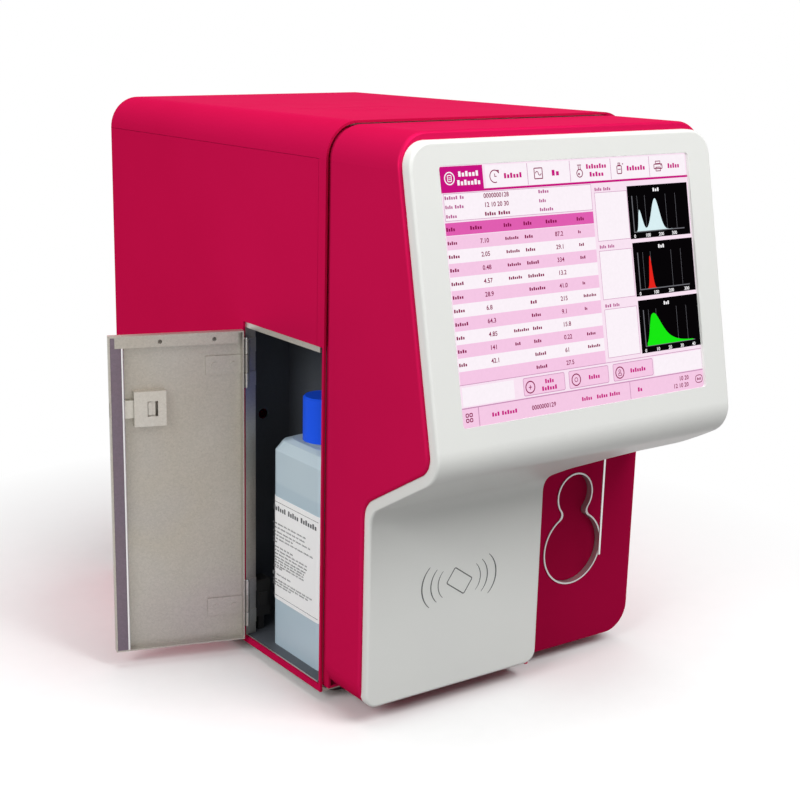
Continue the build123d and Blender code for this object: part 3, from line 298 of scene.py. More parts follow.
def soft_lamp(name, place, aim, size, power, colour=(1.0, 1.0, 1.0)):
    bpy.ops.object.light_add(type="AREA", location=place)
    lamp = bpy.context.object
    lamp.name = name
    lamp.data.shape = "SQUARE"
    lamp.data.size = size
    lamp.data.energy = power
    lamp.data.color = colour
    lamp.rotation_euler = (Vector(aim) - Vector(place)).to_track_quat("-Z", "Y").to_euler()


# what the white room adds as light, and how white it looks to the camera and in reflections
ROOM_LIGHT = 0.27
ROOM_SEEN = 1.0


def make_world():
    """White room: a weak light for the surfaces, pure white where it is seen."""
    world = bpy.data.worlds.new("studio")
    bpy.context.scene.world = world
    world.use_nodes = True
    tree = world.node_tree
    tree.nodes.clear()
    path = tree.nodes.new("ShaderNodeLightPath")
    direct = tree.nodes.new("ShaderNodeMath")
    direct.operation = "ADD"
    shown = tree.nodes.new("ShaderNodeMath")
    shown.operation = "MAXIMUM"
    light = tree.nodes.new("ShaderNodeBackground")
    light.inputs["Strength"].default_value = ROOM_LIGHT
    seen = tree.nodes.new("ShaderNodeBackground")
    seen.inputs["Strength"].default_value = ROOM_SEEN
    for background in (light, seen):
        background.inputs["Color"].default_value = (1, 1, 1, 1)
    mix = tree.nodes.new("ShaderNodeMixShader")
    out = tree.nodes.new("ShaderNodeOutputWorld")
    tree.links.new(path.outputs["Is Camera Ray"], direct.inputs[0])
    tree.links.new(path.outputs["Is Glossy Ray"], direct.inputs[1])
    tree.links.new(direct.outputs[0], shown.inputs[0])
    tree.links.new(path.outputs["Is Transmission Ray"], shown.inputs[1])
    tree.links.new(shown.outputs[0], mix.inputs[0])
    tree.links.new(light.outputs[0], mix.inputs[1])
    tree.links.new(seen.outputs[0], mix.inputs[2])
    tree.links.new(mix.outputs[0], out.inputs[0])


# floor under the feet, in metres, and the distances between which it fades into the white room
FLOOR_Z = -0.0091
FLOOR_RADIUS = 6.0
FLOOR_FADE = (0.28, 0.56)


def make_floor():
    """White paper that fades into the room away from the instrument."""
    bpy.ops.mesh.primitive_circle_add(vertices=96, radius=FLOOR_RADIUS, fill_type="NGON",
                                      location=(0, 0, FLOOR_Z))
    floor = bpy.context.object
    floor.name = "floor"
    bpy.ops.object.transform_apply(location=True, rotation=True, scale=True)
    paint = Paint("floor_paper")
    path = paint.add("ShaderNodeLightPath", out="Is Camera Ray")
    direct = path + paint.add("ShaderNodeLightPath", out="Is Glossy Ray")
    shown = direct.maths("MAXIMUM", direct, paint.add("ShaderNodeLightPath", out="Is Transmission Ray"))
    reach = paint.add("ShaderNodeVectorMath", {"operation": "LENGTH"}, {0: paint.place}, out="Value")
    far = paint.spread(reach, FLOOR_FADE[0], FLOOR_FADE[1], 0.0, 1.0)
    grainy = paint.noise(60.0, 3.0)
    tone = paint.blend(grainy, (0.90, 0.90, 0.90, 1), (0.93, 0.93, 0.93, 1))
    # on other surfaces the paper's bounced light counts as that of a darker table
    tone = paint.blend(shown.maths("MINIMUM", shown, 1.0), grey(0.24), tone)
    paper = paint.add("ShaderNodeBsdfPrincipled", None, {"Base Color": tone, "Roughness": 0.9}, out="BSDF")
    white = paint.add("ShaderNodeEmission", None, {"Color": (1, 1, 1, 1), "Strength": 1.0})
    paint.add_output(paint.add("ShaderNodeMixShader", None, {0: far * shown, 1: paper, 2: white}))
    floor.data.materials.append(paint.material)


bpy.context.scene.view_settings.view_transform = "Standard"
make_camera()
make_world()
make_floor()
soft_lamp("overhead_softbox", (0.1, -0.1, 2.5), (0, 0, 0.2), 1.7, 26.0)
soft_lamp("front_softbox", (0.7, -1.9, 2.2), (0, -0.25, 0.25), 1.3, 44.0)
soft_lamp("left_softbox", (-2.2, -0.8, 1.4), (-0.15, -0.1, 0.25), 1.2, 34.0)

# finishes
CRIMSON = (0.58, 0.0075, 0.076, 1)
CRIMSON_SHADE = (0.56, 0.007, 0.072, 1)
ROSE = (1.0, 0.08, 0.30, 1)
case_paint = lacquer("case_paint", CRIMSON, CRIMSON_SHADE, 0.42, 0.02, 0.0, ROSE, 0.3)
key_plastic = lacquer("key_plastic", (0.31, 0.004, 0.037, 1), (0.29, 0.0036, 0.034, 1), 0.38,
                      0.015, 0.0, ROSE, 0.2)
bezel_plastic = lacquer("bezel_plastic", (0.785, 0.793, 0.765, 1), (0.765, 0.773, 0.75, 1), 0.36, 0.008, 0.25)

# wall at the back of the sampling bay, in millimetres: across, depth from the seam, and its top; a painted
# shade darkens it, standing in for the head's shadow
BAY_WALL_ACROSS = (23.5, 152.2)
BAY_WALL_DEPTH = (-33.6, -29.0)
BAY_WALL_TOP = 185.5
BAY_PAINTED_SHADE = (0.34, 0.004, 0.042, 1)


def cover_paint():
    """The case's lacquer, with a painted shade: a deeper red on the wall of the sampling bay, where the head
    above shades it.
    """
    paint = Paint("cover_plastic")
    x, y, z = paint.axes()
    wall = (x.above(BAY_WALL_ACROSS[0] * MM) * x.below(BAY_WALL_ACROSS[1] * MM)
            * y.above((SEAM + BAY_WALL_DEPTH[0]) * MM) * y.below((SEAM + BAY_WALL_DEPTH[1]) * MM))
    bay = wall * z.below(BAY_WALL_TOP * MM)
    drift = paint.noise(9.0, 2.0)
    tone = paint.blend(paint.mottle(drift), CRIMSON_SHADE, CRIMSON)
    # painted shade: the bay wall's red is darkened as if it lay in the shadow of the head
    tone = paint.blend(bay, tone, BAY_PAINTED_SHADE)
    gloss = paint.spread(paint.noise(22.0, 2.0), 0.25, 0.75, 0.38, 0.43)
    skin = paint.bump(paint.noise(520.0, 1.0), 0.015, 0.0003)
    return paint.finish(tone, gloss, skin, Specular_IOR_Level=0.0, Specular_Tint=ROSE, Metallic=0.25)


trim_plastic = moulded("trim_plastic", grey(0.56), grey(0.50), 0.36, 0.06, 1500.0, 0.7)
ZINC = (0.50, 0.475, 0.43, 1)
ZINC_SHADE = (0.40, 0.38, 0.345, 1)
ZINC_TARNISH = (0.22, 0.20, 0.18, 1)
zinc = zinc_sheet("zinc_sheet", ZINC, ZINC_SHADE, ZINC_TARNISH, 0.42)
door_zinc = zinc_sheet("door_zinc", ZINC, ZINC_SHADE, ZINC_TARNISH, 0.42, painted=CRIMSON)
bare_zinc = zinc_sheet("bare_zinc", (0.62, 0.60, 0.56, 1), (0.52, 0.50, 0.46, 1), (0.35, 0.33, 0.30, 1), 0.36)
liner_paint = zinc_sheet("liner_paint", (0.09, 0.10, 0.12, 1), (0.075, 0.085, 0.10, 1),
                         (0.04, 0.04, 0.05, 1), 0.5, 0.15)
bright_steel = drawn_metal("bright_steel", grey(0.74), grey(0.62), 0.22, 2)
cast_aluminium = drawn_metal("cast_aluminium", grey(0.60), grey(0.50), 0.36, 1)
foot_rubber = moulded("foot_rubber", grey(0.022), grey(0.014), 0.75, 0.3, 1400.0)
black_plastic = moulded("black_plastic", grey(0.026), grey(0.018), 0.48)
display_housing = moulded("display_housing", grey(0.05), grey(0.035), 0.55)
port_plastic = moulded("port_plastic", (0.72, 0.72, 0.70, 1), (0.66, 0.66, 0.63, 1), 0.42)
board_green = moulded("board_green", (0.02, 0.17, 0.07, 1), (0.015, 0.13, 0.05, 1), 0.4)
clear_plastic = moulded("clear_plastic", (0.74, 0.77, 0.78, 1), (0.68, 0.71, 0.73, 1), 0.18, 0.03)
label_paper = moulded("label_paper", (0.97, 0.975, 0.98, 1), (0.95, 0.955, 0.96, 1), 0.5, 0.05, 900.0)
cap_plastic = lacquer("cap_plastic", (0.012, 0.115, 0.98, 1), (0.01, 0.10, 0.92, 1), 0.40, 0.02, 0.15)
reagent = moulded("reagent", (0.40, 0.52, 0.60, 1), (0.37, 0.49, 0.57, 1), 0.2)


# heights in metres between which the bottle turns from wet to dry
LIQUID_LEVEL = (0.153, 0.1555)


def bottle_plastic():
    """Milky bottle that looks darker below the level of the liquid."""
    paint = Paint("bottle_plastic")
    height = paint.axes()[2]
    wavy = height + 0.0015 * paint.noise(12.0, 1.0)
    level = paint.spread(wavy, LIQUID_LEVEL[0], LIQUID_LEVEL[1], 0.0, 1.0)
    cloud = paint.noise(18.0, 3.0)
    wet = paint.blend(cloud, (0.46, 0.59, 0.68, 1), (0.49, 0.62, 0.70, 1))
    dry = paint.blend(cloud, (0.51, 0.64, 0.72, 1), (0.55, 0.67, 0.74, 1))
    seam = paint.noise(900.0, 2.0)
    return paint.finish(paint.blend(level, wet, dry), 0.3, paint.bump(seam, 0.06, 0.0004),
                        Coat_Weight=0.15, Coat_Roughness=0.2)


def screen_glass():
    """Dark glass that shows round the picture."""
    paint = Paint("screen_glass")
    smear = paint.noise(24.0, 4.0, 0.6)
    tone = paint.blend(smear, grey(0.012), grey(0.018))
    return paint.finish(tone, paint.spread(smear, 0.3, 0.7, 0.06, 0.16))


finishes = {
    case_paint: "upper_cover left_side_panel right_side_panel rear_panel",
    cover_paint(): "front_cover",
    key_plastic: "aspirate_key",
    bezel_plastic: "front_bezel",
    trim_plastic: "key_trim",
    screen_glass(): "touch_screen",
    display_housing: "display_module",
    door_zinc: "door_pan",
    zinc: "hinge_leaves bulkhead base_plate corner_posts display_brackets probe_bracket fluid_plate "
          "bath_shelf board_bracket",
    bare_zinc: "latch_plate latch_tongue hinge_brackets door_frame",
    liner_paint: "compartment_liner",
    bright_steel: "probe_needle guide_rods lead_screw hinge_pins panel_screws fan_grille",
    cast_aluminium: "probe_carriage syringe_block syringe_plungers power_supply valve_manifold",
    foot_rubber: "feet",
    bottle_plastic(): "reagent_bottle",
    reagent: "reagent_fill",
    label_paper: "bottle_label",
    cap_plastic: "bottle_cap",
    clear_plastic: "counting_baths syringe_barrels",
    board_green: "mainboard",
    black_plastic: "door_sensor key_switch key_holder fan_housing fan_rotor mains_inlet rocker_frame "
                   "rocker_switch data_sockets wash_block probe_motor syringe_motor waste_pump "
                   "solenoid_valves",
    port_plastic: "fluid_ports vacuum_chamber",
}
for material, names in finishes.items():
    for name in names.split():
        mesh = node[name].data
        mesh.materials.clear()
        mesh.materials.append(material)


def plain_mesh(name):
    """A new flat square, alone in the selection, whose mesh is then replaced."""
    bpy.ops.object.select_all(action="DESELECT")
    bpy.ops.mesh.primitive_plane_add(size=1.0)
    made = bpy.context.object
    made.name = name
    return made


# front bezel: its edge over the sampling bay stands higher than on the solid it replaces
BEZEL_HALF = 149.5
BEZEL_LOW = 7.0
BEZEL_TOP = 453.5
PANEL_RIGHT = 27.0
PANEL_DEPTH = -54.0
BEZEL_RIM = 2.4
BEZEL_WALL = 10.0
PANEL_WALL = 7.5
WINDOW_RADIUS = 2.5
WINDOW_LEDGE = 2.6

# radii of the bezel's corners in the front view
PANEL_CORNER = 11
BAY_CORNER = 14
HEAD_LOW_CORNER = 18
HEAD_CORNER = 20

# the edge over the bay rises from the lower panel to the head's right corner
BAY_EDGE_LOW = 184.5
BAY_EDGE = [(66, 190), (90, 194)]
BAY_EDGE_HIGH = 194.8

# side view: the head's underside slopes down to the rear, through this depth and height
UNDERSIDE_SLOPE = 0.5835
UNDERSIDE_DEPTH = -113.1
UNDERSIDE_HEIGHT = 205.1
HOLLOW_RADIUS = 20.0
CHIN_RADIUS = 25.0
PROFILE_LOW = -20.0
PROFILE_TOP = 480.0
BEND_STEPS = 9

# heights of the shell's rows closer than this count as one, with some slack at the window's edges
SAME_LEVEL = 0.02
WINDOW_SLACK = 0.03

# edges sharper than these stay crisp
BEZEL_CREASE = math.radians(32)
STRIP_CREASE = math.radians(35)


def quarter_turn(steps):
    """Angles from nothing to a right angle."""
    return [math.radians(90 * k / steps) for k in range(steps + 1)]


def round_corner(x, z, radius, start, end, steps=7):
    """Points of a rounded corner about its centre, with the angles in degrees."""
    angles = [math.radians(start + (end - start) * k / steps) for k in range(steps + 1)]
    return [(x + radius * math.cos(angle), z + radius * math.sin(angle)) for angle in angles]


def round_bend(before, corner, after, radius, steps=BEND_STEPS):
    """Points of the arc that rounds a corner between two straight runs."""
    before, corner, after = Vector(before), Vector(corner), Vector(after)
    first = (before - corner).normalized()
    second = (after - corner).normalized()
    half = math.acos(first.dot(second)) / 2
    centre = corner + (first + second).normalized() * radius / math.sin(half)
    start = corner + first * radius / math.tan(half) - centre
    end = corner + second * radius / math.tan(half) - centre
    swing = math.acos(start.dot(end) / radius ** 2)
    return [centre + (start * math.sin(swing * (1 - k / steps)) + end * math.sin(swing * k / steps))
            / math.sin(swing) for k in range(steps + 1)]


def front_profile(inset, low_inset):
    """Side view of the front from bottom to top as (depth, height): panel, hollow, underside, chin, face."""
    low = PANEL_DEPTH + low_inset
    underside = UNDERSIDE_HEIGHT + inset * math.hypot(1, UNDERSIDE_SLOPE)
    face = FACE_DEPTH + inset * math.hypot(1, LEAN)
    foot = (low, PROFILE_LOW)
    hollow = (low, underside + UNDERSIDE_SLOPE * (UNDERSIDE_DEPTH - low))
    # the chin is where the underside's slope meets the leaning face
    at_floor = underside + UNDERSIDE_SLOPE * (UNDERSIDE_DEPTH - face + LEAN * FACE_HEIGHT)
    chin_height = at_floor / (1 + UNDERSIDE_SLOPE * LEAN)
    chin = (face - (FACE_HEIGHT - chin_height) * LEAN, chin_height)
    top = (face - (FACE_HEIGHT - PROFILE_TOP) * LEAN, PROFILE_TOP)
    return ([Vector(foot)] + round_bend(foot, hollow, chin, HOLLOW_RADIUS)
            + round_bend(hollow, chin, top, CHIN_RADIUS - inset) + [Vector(top)])


def along(points, height, value, key):
    """Value of a polyline at a height."""
    for low, high in zip(points, points[1:]):
        if low[key] <= height <= high[key]:
            share = (height - low[key]) / max(high[key] - low[key], 1e-9)
            return low[value] + (high[value] - low[value]) * share
    return (points[0] if height < points[0][key] else points[-1])[value]


def bezel_sides():
    """Right and left edges of the bezel in the front view, as (across, height) from bottom to top."""
    low = BEZEL_LOW + PANEL_CORNER
    high = BEZEL_TOP - HEAD_CORNER
    right = (round_corner(PANEL_RIGHT - PANEL_CORNER, low, PANEL_CORNER, -90, 0)
             + round_corner(PANEL_RIGHT + BAY_CORNER, BAY_EDGE_LOW - BAY_CORNER, BAY_CORNER, 180, 90)
             + BAY_EDGE
             + round_corner(BEZEL_HALF - HEAD_LOW_CORNER, BAY_EDGE_HIGH + HEAD_LOW_CORNER, HEAD_LOW_CORNER,
                            -90, 0)
             + round_corner(BEZEL_HALF - HEAD_CORNER, high, HEAD_CORNER, 0, 90))
    left = (round_corner(PANEL_CORNER - BEZEL_HALF, low, PANEL_CORNER, 270, 180)
            + round_corner(HEAD_CORNER - BEZEL_HALF, high, HEAD_CORNER, 180, 90))
    return right, left


def bezel_shape():
    """Shell of the bezel: its front view's outline carried along the side view, with the screen's window."""
    right, left = bezel_sides()
    front = front_profile(0.0, 0.0)
    back = front_profile(BEZEL_WALL, PANEL_WALL)
    upright = math.cos(TILT)
    window_low = SCREEN_MIDDLE[2] - SCREEN_HIGH / 2 * upright
    window_high = SCREEN_MIDDLE[2] + SCREEN_HIGH / 2 * upright
    rounding = [WINDOW_RADIUS * (1 - math.cos(turn)) * upright for turn in quarter_turn(4)]
    heights = [z for x, z in right + left] + [point[1] for point in front[1:-1]]
    # one more level a millimetre beyond each end of the hollow's bend and of the chin's
    hollow_bend = front[1:BEND_STEPS + 2]
    chin_bend = front[BEND_STEPS + 2:-1]
    for bend_points in (hollow_bend, chin_bend):
        heights += [bend_points[0][1] - 1, bend_points[-1][1] + 1]
    heights += [window_low + step for step in rounding] + [window_high - step for step in rounding]
    levels = []
    for z in sorted(heights):
        if not levels or z - levels[-1] > SAME_LEVEL:
            levels.append(z)
    levels[-1] = BEZEL_TOP
    outline = [Vector((along(right, z, 0, 1), z)) for z in levels]
    outline += [Vector((along(left, z, 0, 1), z)) for z in reversed(levels)]
    outward = []
    for k, point in enumerate(outline):
        before = (point - outline[k - 1]).normalized()
        after = (outline[(k + 1) % len(outline)] - point).normalized()
        heading = before + after
        outward.append(Vector((heading.y, -heading.x)).normalized())

    shape = bmesh.new()

    def loop(inset, side, push):
        made = []
        for point, away in zip(outline, outward):
            spot = point - away * inset
            depth = along(side, spot.y, 0, 1) + push
            made.append(shape.verts.new((spot.x, SEAM + depth, spot.y)))
        return made

    def window_loop(push):
        made = {}
        for k, z in enumerate(levels):
            if window_low - WINDOW_SLACK <= z <= window_high + WINDOW_SLACK:
                drop = min(WINDOW_RADIUS, (z - window_low) / upright, (window_high - z) / upright)
                reach = math.sqrt(max(WINDOW_RADIUS ** 2 - (WINDOW_RADIUS - drop) ** 2, 0))
                wide = SCREEN_WIDE / 2 - WINDOW_RADIUS + reach
                depth = along(front, z, 0, 1)
                made[k] = [shape.verts.new((x, SEAM + depth + push * upright, z - push * math.sin(TILT)))
                           for x in (-wide, wide)]
        return made

    def rows(rim, window, turned):
        """Faces between the left and the right side of a loop, round the window."""
        count = len(levels)
        for k in range(count - 1):
            right_low, right_high = rim[k], rim[k + 1]
            left_low, left_high = rim[2 * count - 1 - k], rim[2 * count - 2 - k]
            if k in window and k + 1 in window:
                groups = [[left_low, window[k][0], window[k + 1][0], left_high],
                          [window[k][1], right_low, right_high, window[k + 1][1]]]
            else:
                low = window.get(k, []) if k + 1 not in window else []
                high = window.get(k + 1, []) if k not in window else []
                groups = [[left_low] + list(low) + [right_low, right_high]
                          + list(reversed(high)) + [left_high]]
            for group in groups:
                shape.faces.new(list(reversed(group)) if turned else group)

    def wall(first, second):
        for k in range(len(first)):
            nxt = (k + 1) % len(first)
            shape.faces.new([first[k], second[k], second[nxt], first[nxt]])

    loops = [loop(BEZEL_RIM * (1 - math.sin(turn)), front, BEZEL_RIM * (1 - math.cos(turn)))
             for turn in quarter_turn(5)]
    loops.append(loop(0.0, back, 0.0))
    for first, second in zip(loops, loops[1:]):
        wall(first, second)
    windows = [window_loop(0.0), window_loop(WINDOW_LEDGE), window_loop(BEZEL_WALL)]
    rows(loops[0], windows[0], False)
    rows(loops[-1], windows[-1], True)
    rounds = []
    for window in windows:
        keys = sorted(window)
        rounds.append([window[k][0] for k in keys] + [window[k][1] for k in reversed(keys)])
    for first, second in zip(rounds, rounds[1:]):
        wall(first, second)
    bmesh.ops.recalc_face_normals(shape, faces=shape.faces)
    for face in shape.faces:
        face.smooth = True
    crisp = {frozenset((loops[0][k], loops[0][(k + 1) % len(outline)])) for k in range(len(outline))}
    for edge in shape.edges:
        if frozenset(edge.verts) in crisp or edge.calc_face_angle(math.pi) > BEZEL_CREASE:
            edge.smooth = False
    shape.transform(Matrix.Scale(MM, 4))
    return shape


def make_bezel():
    bezel = plain_mesh("bezel_shell")
    shape = bezel_shape()
    shape.to_mesh(bezel.data)
    shape.free()
    bezel.data.materials.clear()
    bezel.data.materials.append(bezel_plastic)
    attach(bezel, "chassis")
    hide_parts("front_bezel")


make_bezel()

# folded edge of the reagent door, drawn on the closed door and swung open with it
DOOR_FREE_Y = SEAM + 8.0
STRIP_LOW = 6.8
STRIP_HIGH = 282.6
STRIP_END = 0.6
filmed_zinc = zinc_sheet("filmed_zinc", (0.20, 0.15, 0.20, 1), (0.15, 0.12, 0.15, 1),
                         (0.09, 0.07, 0.09, 1), 0.4, 0.4)
folded_edge = drawn_metal("folded_edge", grey(0.80), grey(0.70), 0.34, 2)


def door_strip(name, section, finish_material):
    """Strip along the free edge of the door; its section is (depth from the skin, distance from the edge)."""
    strip = plain_mesh(name)
    shape = bmesh.new()
    rings = []
    for z in (STRIP_LOW, STRIP_LOW + STRIP_END, STRIP_HIGH - STRIP_END, STRIP_HIGH):
        rings.append([shape.verts.new((DOOR_SKIN_X + depth, DOOR_FREE_Y + reach, z))
                      for depth, reach in section])
    for first, second in zip(rings, rings[1:]):
        for k in range(len(section)):
            after = (k + 1) % len(section)
            shape.faces.new([first[k], first[after], second[after], second[k]])
    shape.faces.new(rings[0])
    shape.faces.new(rings[-1])
    bmesh.ops.recalc_face_normals(shape, faces=shape.faces)
    for edge in shape.edges:
        edge.smooth = edge.calc_face_angle(math.pi) < STRIP_CREASE
    for face in shape.faces:
        face.smooth = True
    swing = Matrix.Translation(HINGE_LINE) @ Matrix.Rotation(DOOR_OPEN, 4, "Z")
    shape.transform(Matrix.Scale(MM, 4) @ swing @ Matrix.Translation([-value for value in HINGE_LINE]))
    shape.to_mesh(strip.data)
    shape.free()
    strip.data.materials.clear()
    strip.data.materials.append(finish_material)
    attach(strip, "reagent_door")


# a flat flange with an eased edge, then a half round bead beside it; near and far are depths from the skin
FLANGE_NEAR = 6.9
FLANGE_FAR = 7.7
FLANGE_END = 10.2
BEAD_MIDDLE = 11.2
BEAD_DEEP = 1.05
BEAD_HALF = 1.2
BEAD_STEPS = 8
flange = [(FLANGE_NEAR, 1.0), (FLANGE_NEAR + 0.2, 0.6), (FLANGE_FAR - 0.2, 0.6), (FLANGE_FAR, 1.0),
          (FLANGE_FAR, FLANGE_END), (FLANGE_NEAR, FLANGE_END)]
bead_turns = [math.pi * k / BEAD_STEPS for k in range(BEAD_STEPS + 1)]
bead = [(FLANGE_NEAR + BEAD_DEEP * math.sin(turn), BEAD_MIDDLE - BEAD_HALF * math.cos(turn))
        for turn in bead_turns]
door_strip("door_flange", flange, filmed_zinc)
door_strip("door_flange_bead", bead, folded_edge)

# flat print, laid out in millimetres and then stood on its face
def print_ink(name, colour, roughness=0.4, glow=0.0):
    """Printed colour with a little unevenness; with glow, a lit colour of the screen."""
    paint = Paint(name)
    uneven = paint.noise(420.0, 2.0)
    shade = tuple(channel * 0.93 for channel in colour[:3]) + (1.0,)
    tone = paint.blend(uneven, shade, colour)
    if glow:
        return paint.finish(grey(0.0), 0.18, None, Emission_Color=tone, Emission_Strength=glow,
                            Specular_IOR_Level=0.0)
    return paint.finish(tone, roughness)


def start_flat(name):
    """An empty mesh in edit mode, for flat shapes in millimetres on the XY plane."""
    sheet = plain_mesh(name)
    bpy.ops.object.mode_set(mode="EDIT")
    bpy.ops.mesh.delete(type="VERT")
    return sheet


def rectangle(x0, y0, x1, y1):
    middle = ((x0 + x1) / 2, (y0 + y1) / 2, 0)
    bpy.ops.mesh.primitive_plane_add(size=1.0, location=middle)
    bpy.ops.transform.resize(value=(x1 - x0, y1 - y0, 1), center_override=middle)


def round_rectangle(x0, y0, x1, y1, radius):
    rectangle(x0, y0, x1, y1)
    bpy.ops.mesh.bevel(offset=radius, segments=4, affect="VERTICES", clamp_overlap=True)


def frame_line(x0, y0, x1, y1, line, radius=0.0):
    """Outline of a rectangle."""
    if radius:
        round_rectangle(x0, y0, x1, y1, radius)
    else:
        rectangle(x0, y0, x1, y1)
    bpy.ops.mesh.inset(thickness=line, use_even_offset=True)
    bpy.ops.mesh.delete(type="FACE")


def ring(x, y, radius, line, sides=28):
    bpy.ops.mesh.primitive_circle_add(vertices=sides, radius=radius, fill_type="NGON", location=(x, y, 0))
    bpy.ops.mesh.inset(thickness=line, use_even_offset=True)
    bpy.ops.mesh.delete(type="FACE")


def disc(x, y, radius, sides=20):
    bpy.ops.mesh.primitive_circle_add(vertices=sides, radius=radius, fill_type="NGON", location=(x, y, 0))


def bend(steps, place):
    """A strip of unit length and width whose points are moved to place(along, across)."""
    bpy.ops.mesh.primitive_grid_add(x_subdivisions=steps, y_subdivisions=1, size=1.0)
    flat = bmesh.from_edit_mesh(bpy.context.object.data)
    for vert in flat.verts:
        if vert.select:
            vert.co.x, vert.co.y = place(vert.co.x + 0.5, vert.co.y)
    bmesh.update_edit_mesh(bpy.context.object.data)


def arc(x, y, radius, line, start, sweep, steps=14, taper=0.0):
    """A curved stroke, thinner towards its ends by the share in taper."""
    def place(along, side):
        angle = start + sweep * along
        width = line * (1 - taper * (2 * along - 1) ** 2)
        return x + (radius + side * width) * math.cos(angle), y + (radius + side * width) * math.sin(angle)
    bend(steps, place)


# letter blocks, as shares of a word's height and of the space for one letter
LETTER_SPACE = 0.78
LOW_LETTER = 0.72
LETTER_WIDE = 0.68


def word(x, y, wide, high):
    """A word of unreadable letter blocks whose middle line is at y."""
    count = max(2, round(wide / (LETTER_SPACE * high)))
    pitch = wide / count
    for k in range(count):
        tall = high if k == 0 or k % 3 == 2 else LOW_LETTER * high
        low = y - high / 2
        rectangle(x + k * pitch, low, x + k * pitch + LETTER_WIDE * pitch, low + tall)


def end_flat(sheet, ink, plane, body="chassis"):
    """Leaves edit mode, stands the print on its plane and hangs it on a body."""
    bpy.ops.object.mode_set(mode="OBJECT")
    sheet.matrix_world = plane @ Matrix.Scale(MM, 4)
    bpy.ops.object.select_all(action="DESELECT")
    sheet.select_set(True)
    bpy.context.view_layer.objects.active = sheet
    bpy.ops.object.transform_apply(location=True, rotation=True, scale=True)
    sheet.data.materials.clear()
    sheet.data.materials.append(ink)
    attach(sheet, body)
    return sheet


def flip_to_front(sheet):
    """Turns the faces of a flat mesh in edit mode to +Z."""
    flat = bmesh.from_edit_mesh(sheet.data)
    flat.normal_update()
    for face in flat.faces:
        face.select_set(face.normal.z < 0)
    bmesh.update_edit_mesh(sheet.data)
    bpy.ops.mesh.flip_normals()
    bpy.ops.mesh.select_all(action="SELECT")


def facing(origin, across, up):
    """Plane matrix in metres from an origin in millimetres and two directions."""
    across, up = Vector(across), Vector(up)
    turn = Matrix((across, up, across.cross(up))).transposed().to_4x4()
    return Matrix.Translation(Vector(origin) * MM) @ turn


def screen_plane(lift):
    out = Vector((0, -math.cos(TILT), math.sin(TILT)))
    origin = Vector(SCREEN_MIDDLE) + out * (lift - GLASS_DEPTH)
    return facing(origin, (1, 0, 0), (0, math.sin(TILT), math.cos(TILT)))


# the screen's picture, laid out in dots of an eighth of a millimetre from its top left corner; it starts this
# far from the window's left side and is a little stretched across, and each layer lies this far off the glass
DOT = 0.125
PICTURE_START = 1.6
PICTURE_STRETCH = 1.004
LAYERS = {"ground": 0.05, "field": 0.09, "strip": 0.13, "mark": 0.17, "figure": 0.21}
inks = {}


def screen_ink(name, red, green, blue):
    inks[name] = print_ink("screen_" + name, srgb(red, green, blue), glow=1.0)


screen_ink("ground", 253, 231, 246)
screen_ink("pale", 255, 246, 253)
screen_ink("row", 249, 203, 233)
screen_ink("header", 228, 96, 180)
screen_ink("magenta", 203, 20, 131)
screen_ink("bar", 249, 205, 233)
screen_ink("line", 205, 150, 188)
screen_ink("words", 140, 14, 80)
screen_ink("soft_words", 186, 96, 150)
screen_ink("white", 255, 252, 255)
screen_ink("black", 7, 5, 7)
screen_ink("axis", 112, 112, 118)
screen_ink("ice", 221, 243, 247)
screen_ink("red", 232, 38, 30)
screen_ink("green", 24, 236, 20)


def across(dots):
    return PICTURE_START + dots * DOT * PICTURE_STRETCH - SCREEN_WIDE / 2


def down(dots):
    return SCREEN_HIGH / 2 - dots * DOT


def place_picture(name, ink, layer, shapes):
    """One colour of the picture; shapes are (maker, numbers in dots)."""
    sheet = start_flat(name)
    for maker, *numbers in shapes:
        maker(*numbers)
    flip_to_front(sheet)
    return end_flat(sheet, inks[ink], screen_plane(LAYERS[layer]))


def box(x0, y0, x1, y1, radius=0):
    if radius:
        round_rectangle(across(x0), down(y1), across(x1), down(y0), radius * DOT)
    else:
        rectangle(across(x0), down(y1), across(x1), down(y0))


def border(x0, y0, x1, y1, line=4, radius=0):
    frame_line(across(x0), down(y1), across(x1), down(y0), line * DOT, radius * DOT)


def hoop(x, y, radius, line=6):
    ring(across(x), down(y), radius * DOT, line * DOT)


def dot(x, y, radius):
    disc(across(x), down(y), radius * DOT)


def text(x, y, wide, high=20):
    word(across(x), down(y), wide * DOT, high * DOT)


def curve(x0, x1, base, height):
    """A filled curve over a base line; height maps 0..1 across to dots."""
    def place(along, side):
        rise = max(height(along), 0.8) * (side + 0.5)
        return across(x0 + (x1 - x0) * along), down(base - rise)
    bend(56, place)


def hill(middle, left, right, top):
    """A bell with different spreads left and right of its middle."""
    def height(share):
        spread = left if share < middle else right
        return top * math.exp(-((share - middle) / spread) ** 2)
    return height


def cell_curve(share):
    return hill(0.09, 0.045, 0.10, 134)(share) + hill(0.55, 0.17, 0.145, 197)(share)


def red_curve(share):
    return hill(0.42, 0.20, 0.24, 202)(share)


def platelet_curve(share):
    return hill(0.13, 0.075, 0.22, 150)(share) + hill(0.24, 0.15, 0.36, 62)(share) + 5


ROW_HIGH = 77.3
ROW_TOP = 398
TABLE_LEFT = 8
TABLE_RIGHT = 1138
ROWS = 11
PANELS = [(1432, 185, 1955, 512), (1440, 536, 1962, 870), (1447, 895, 1970, 1225)]
BUTTONS = [(470, 795), (828, 1152), (1190, 1530)]
ICON_DROP = 1320
STATUS_DROP = 1443
LEFT_SIDE = -14
RIGHT_SIDE = 1966
BOTTOM = 1496


def table_rows(first):
    """Every other row of the table from the first."""
    return [(box, TABLE_LEFT, ROW_TOP + k * ROW_HIGH, TABLE_RIGHT, ROW_TOP + (k + 1) * ROW_HIGH)
            for k in range(first, ROWS, 2)]


def row_middle(k):
    return ROW_TOP + (k + 0.5) * ROW_HIGH


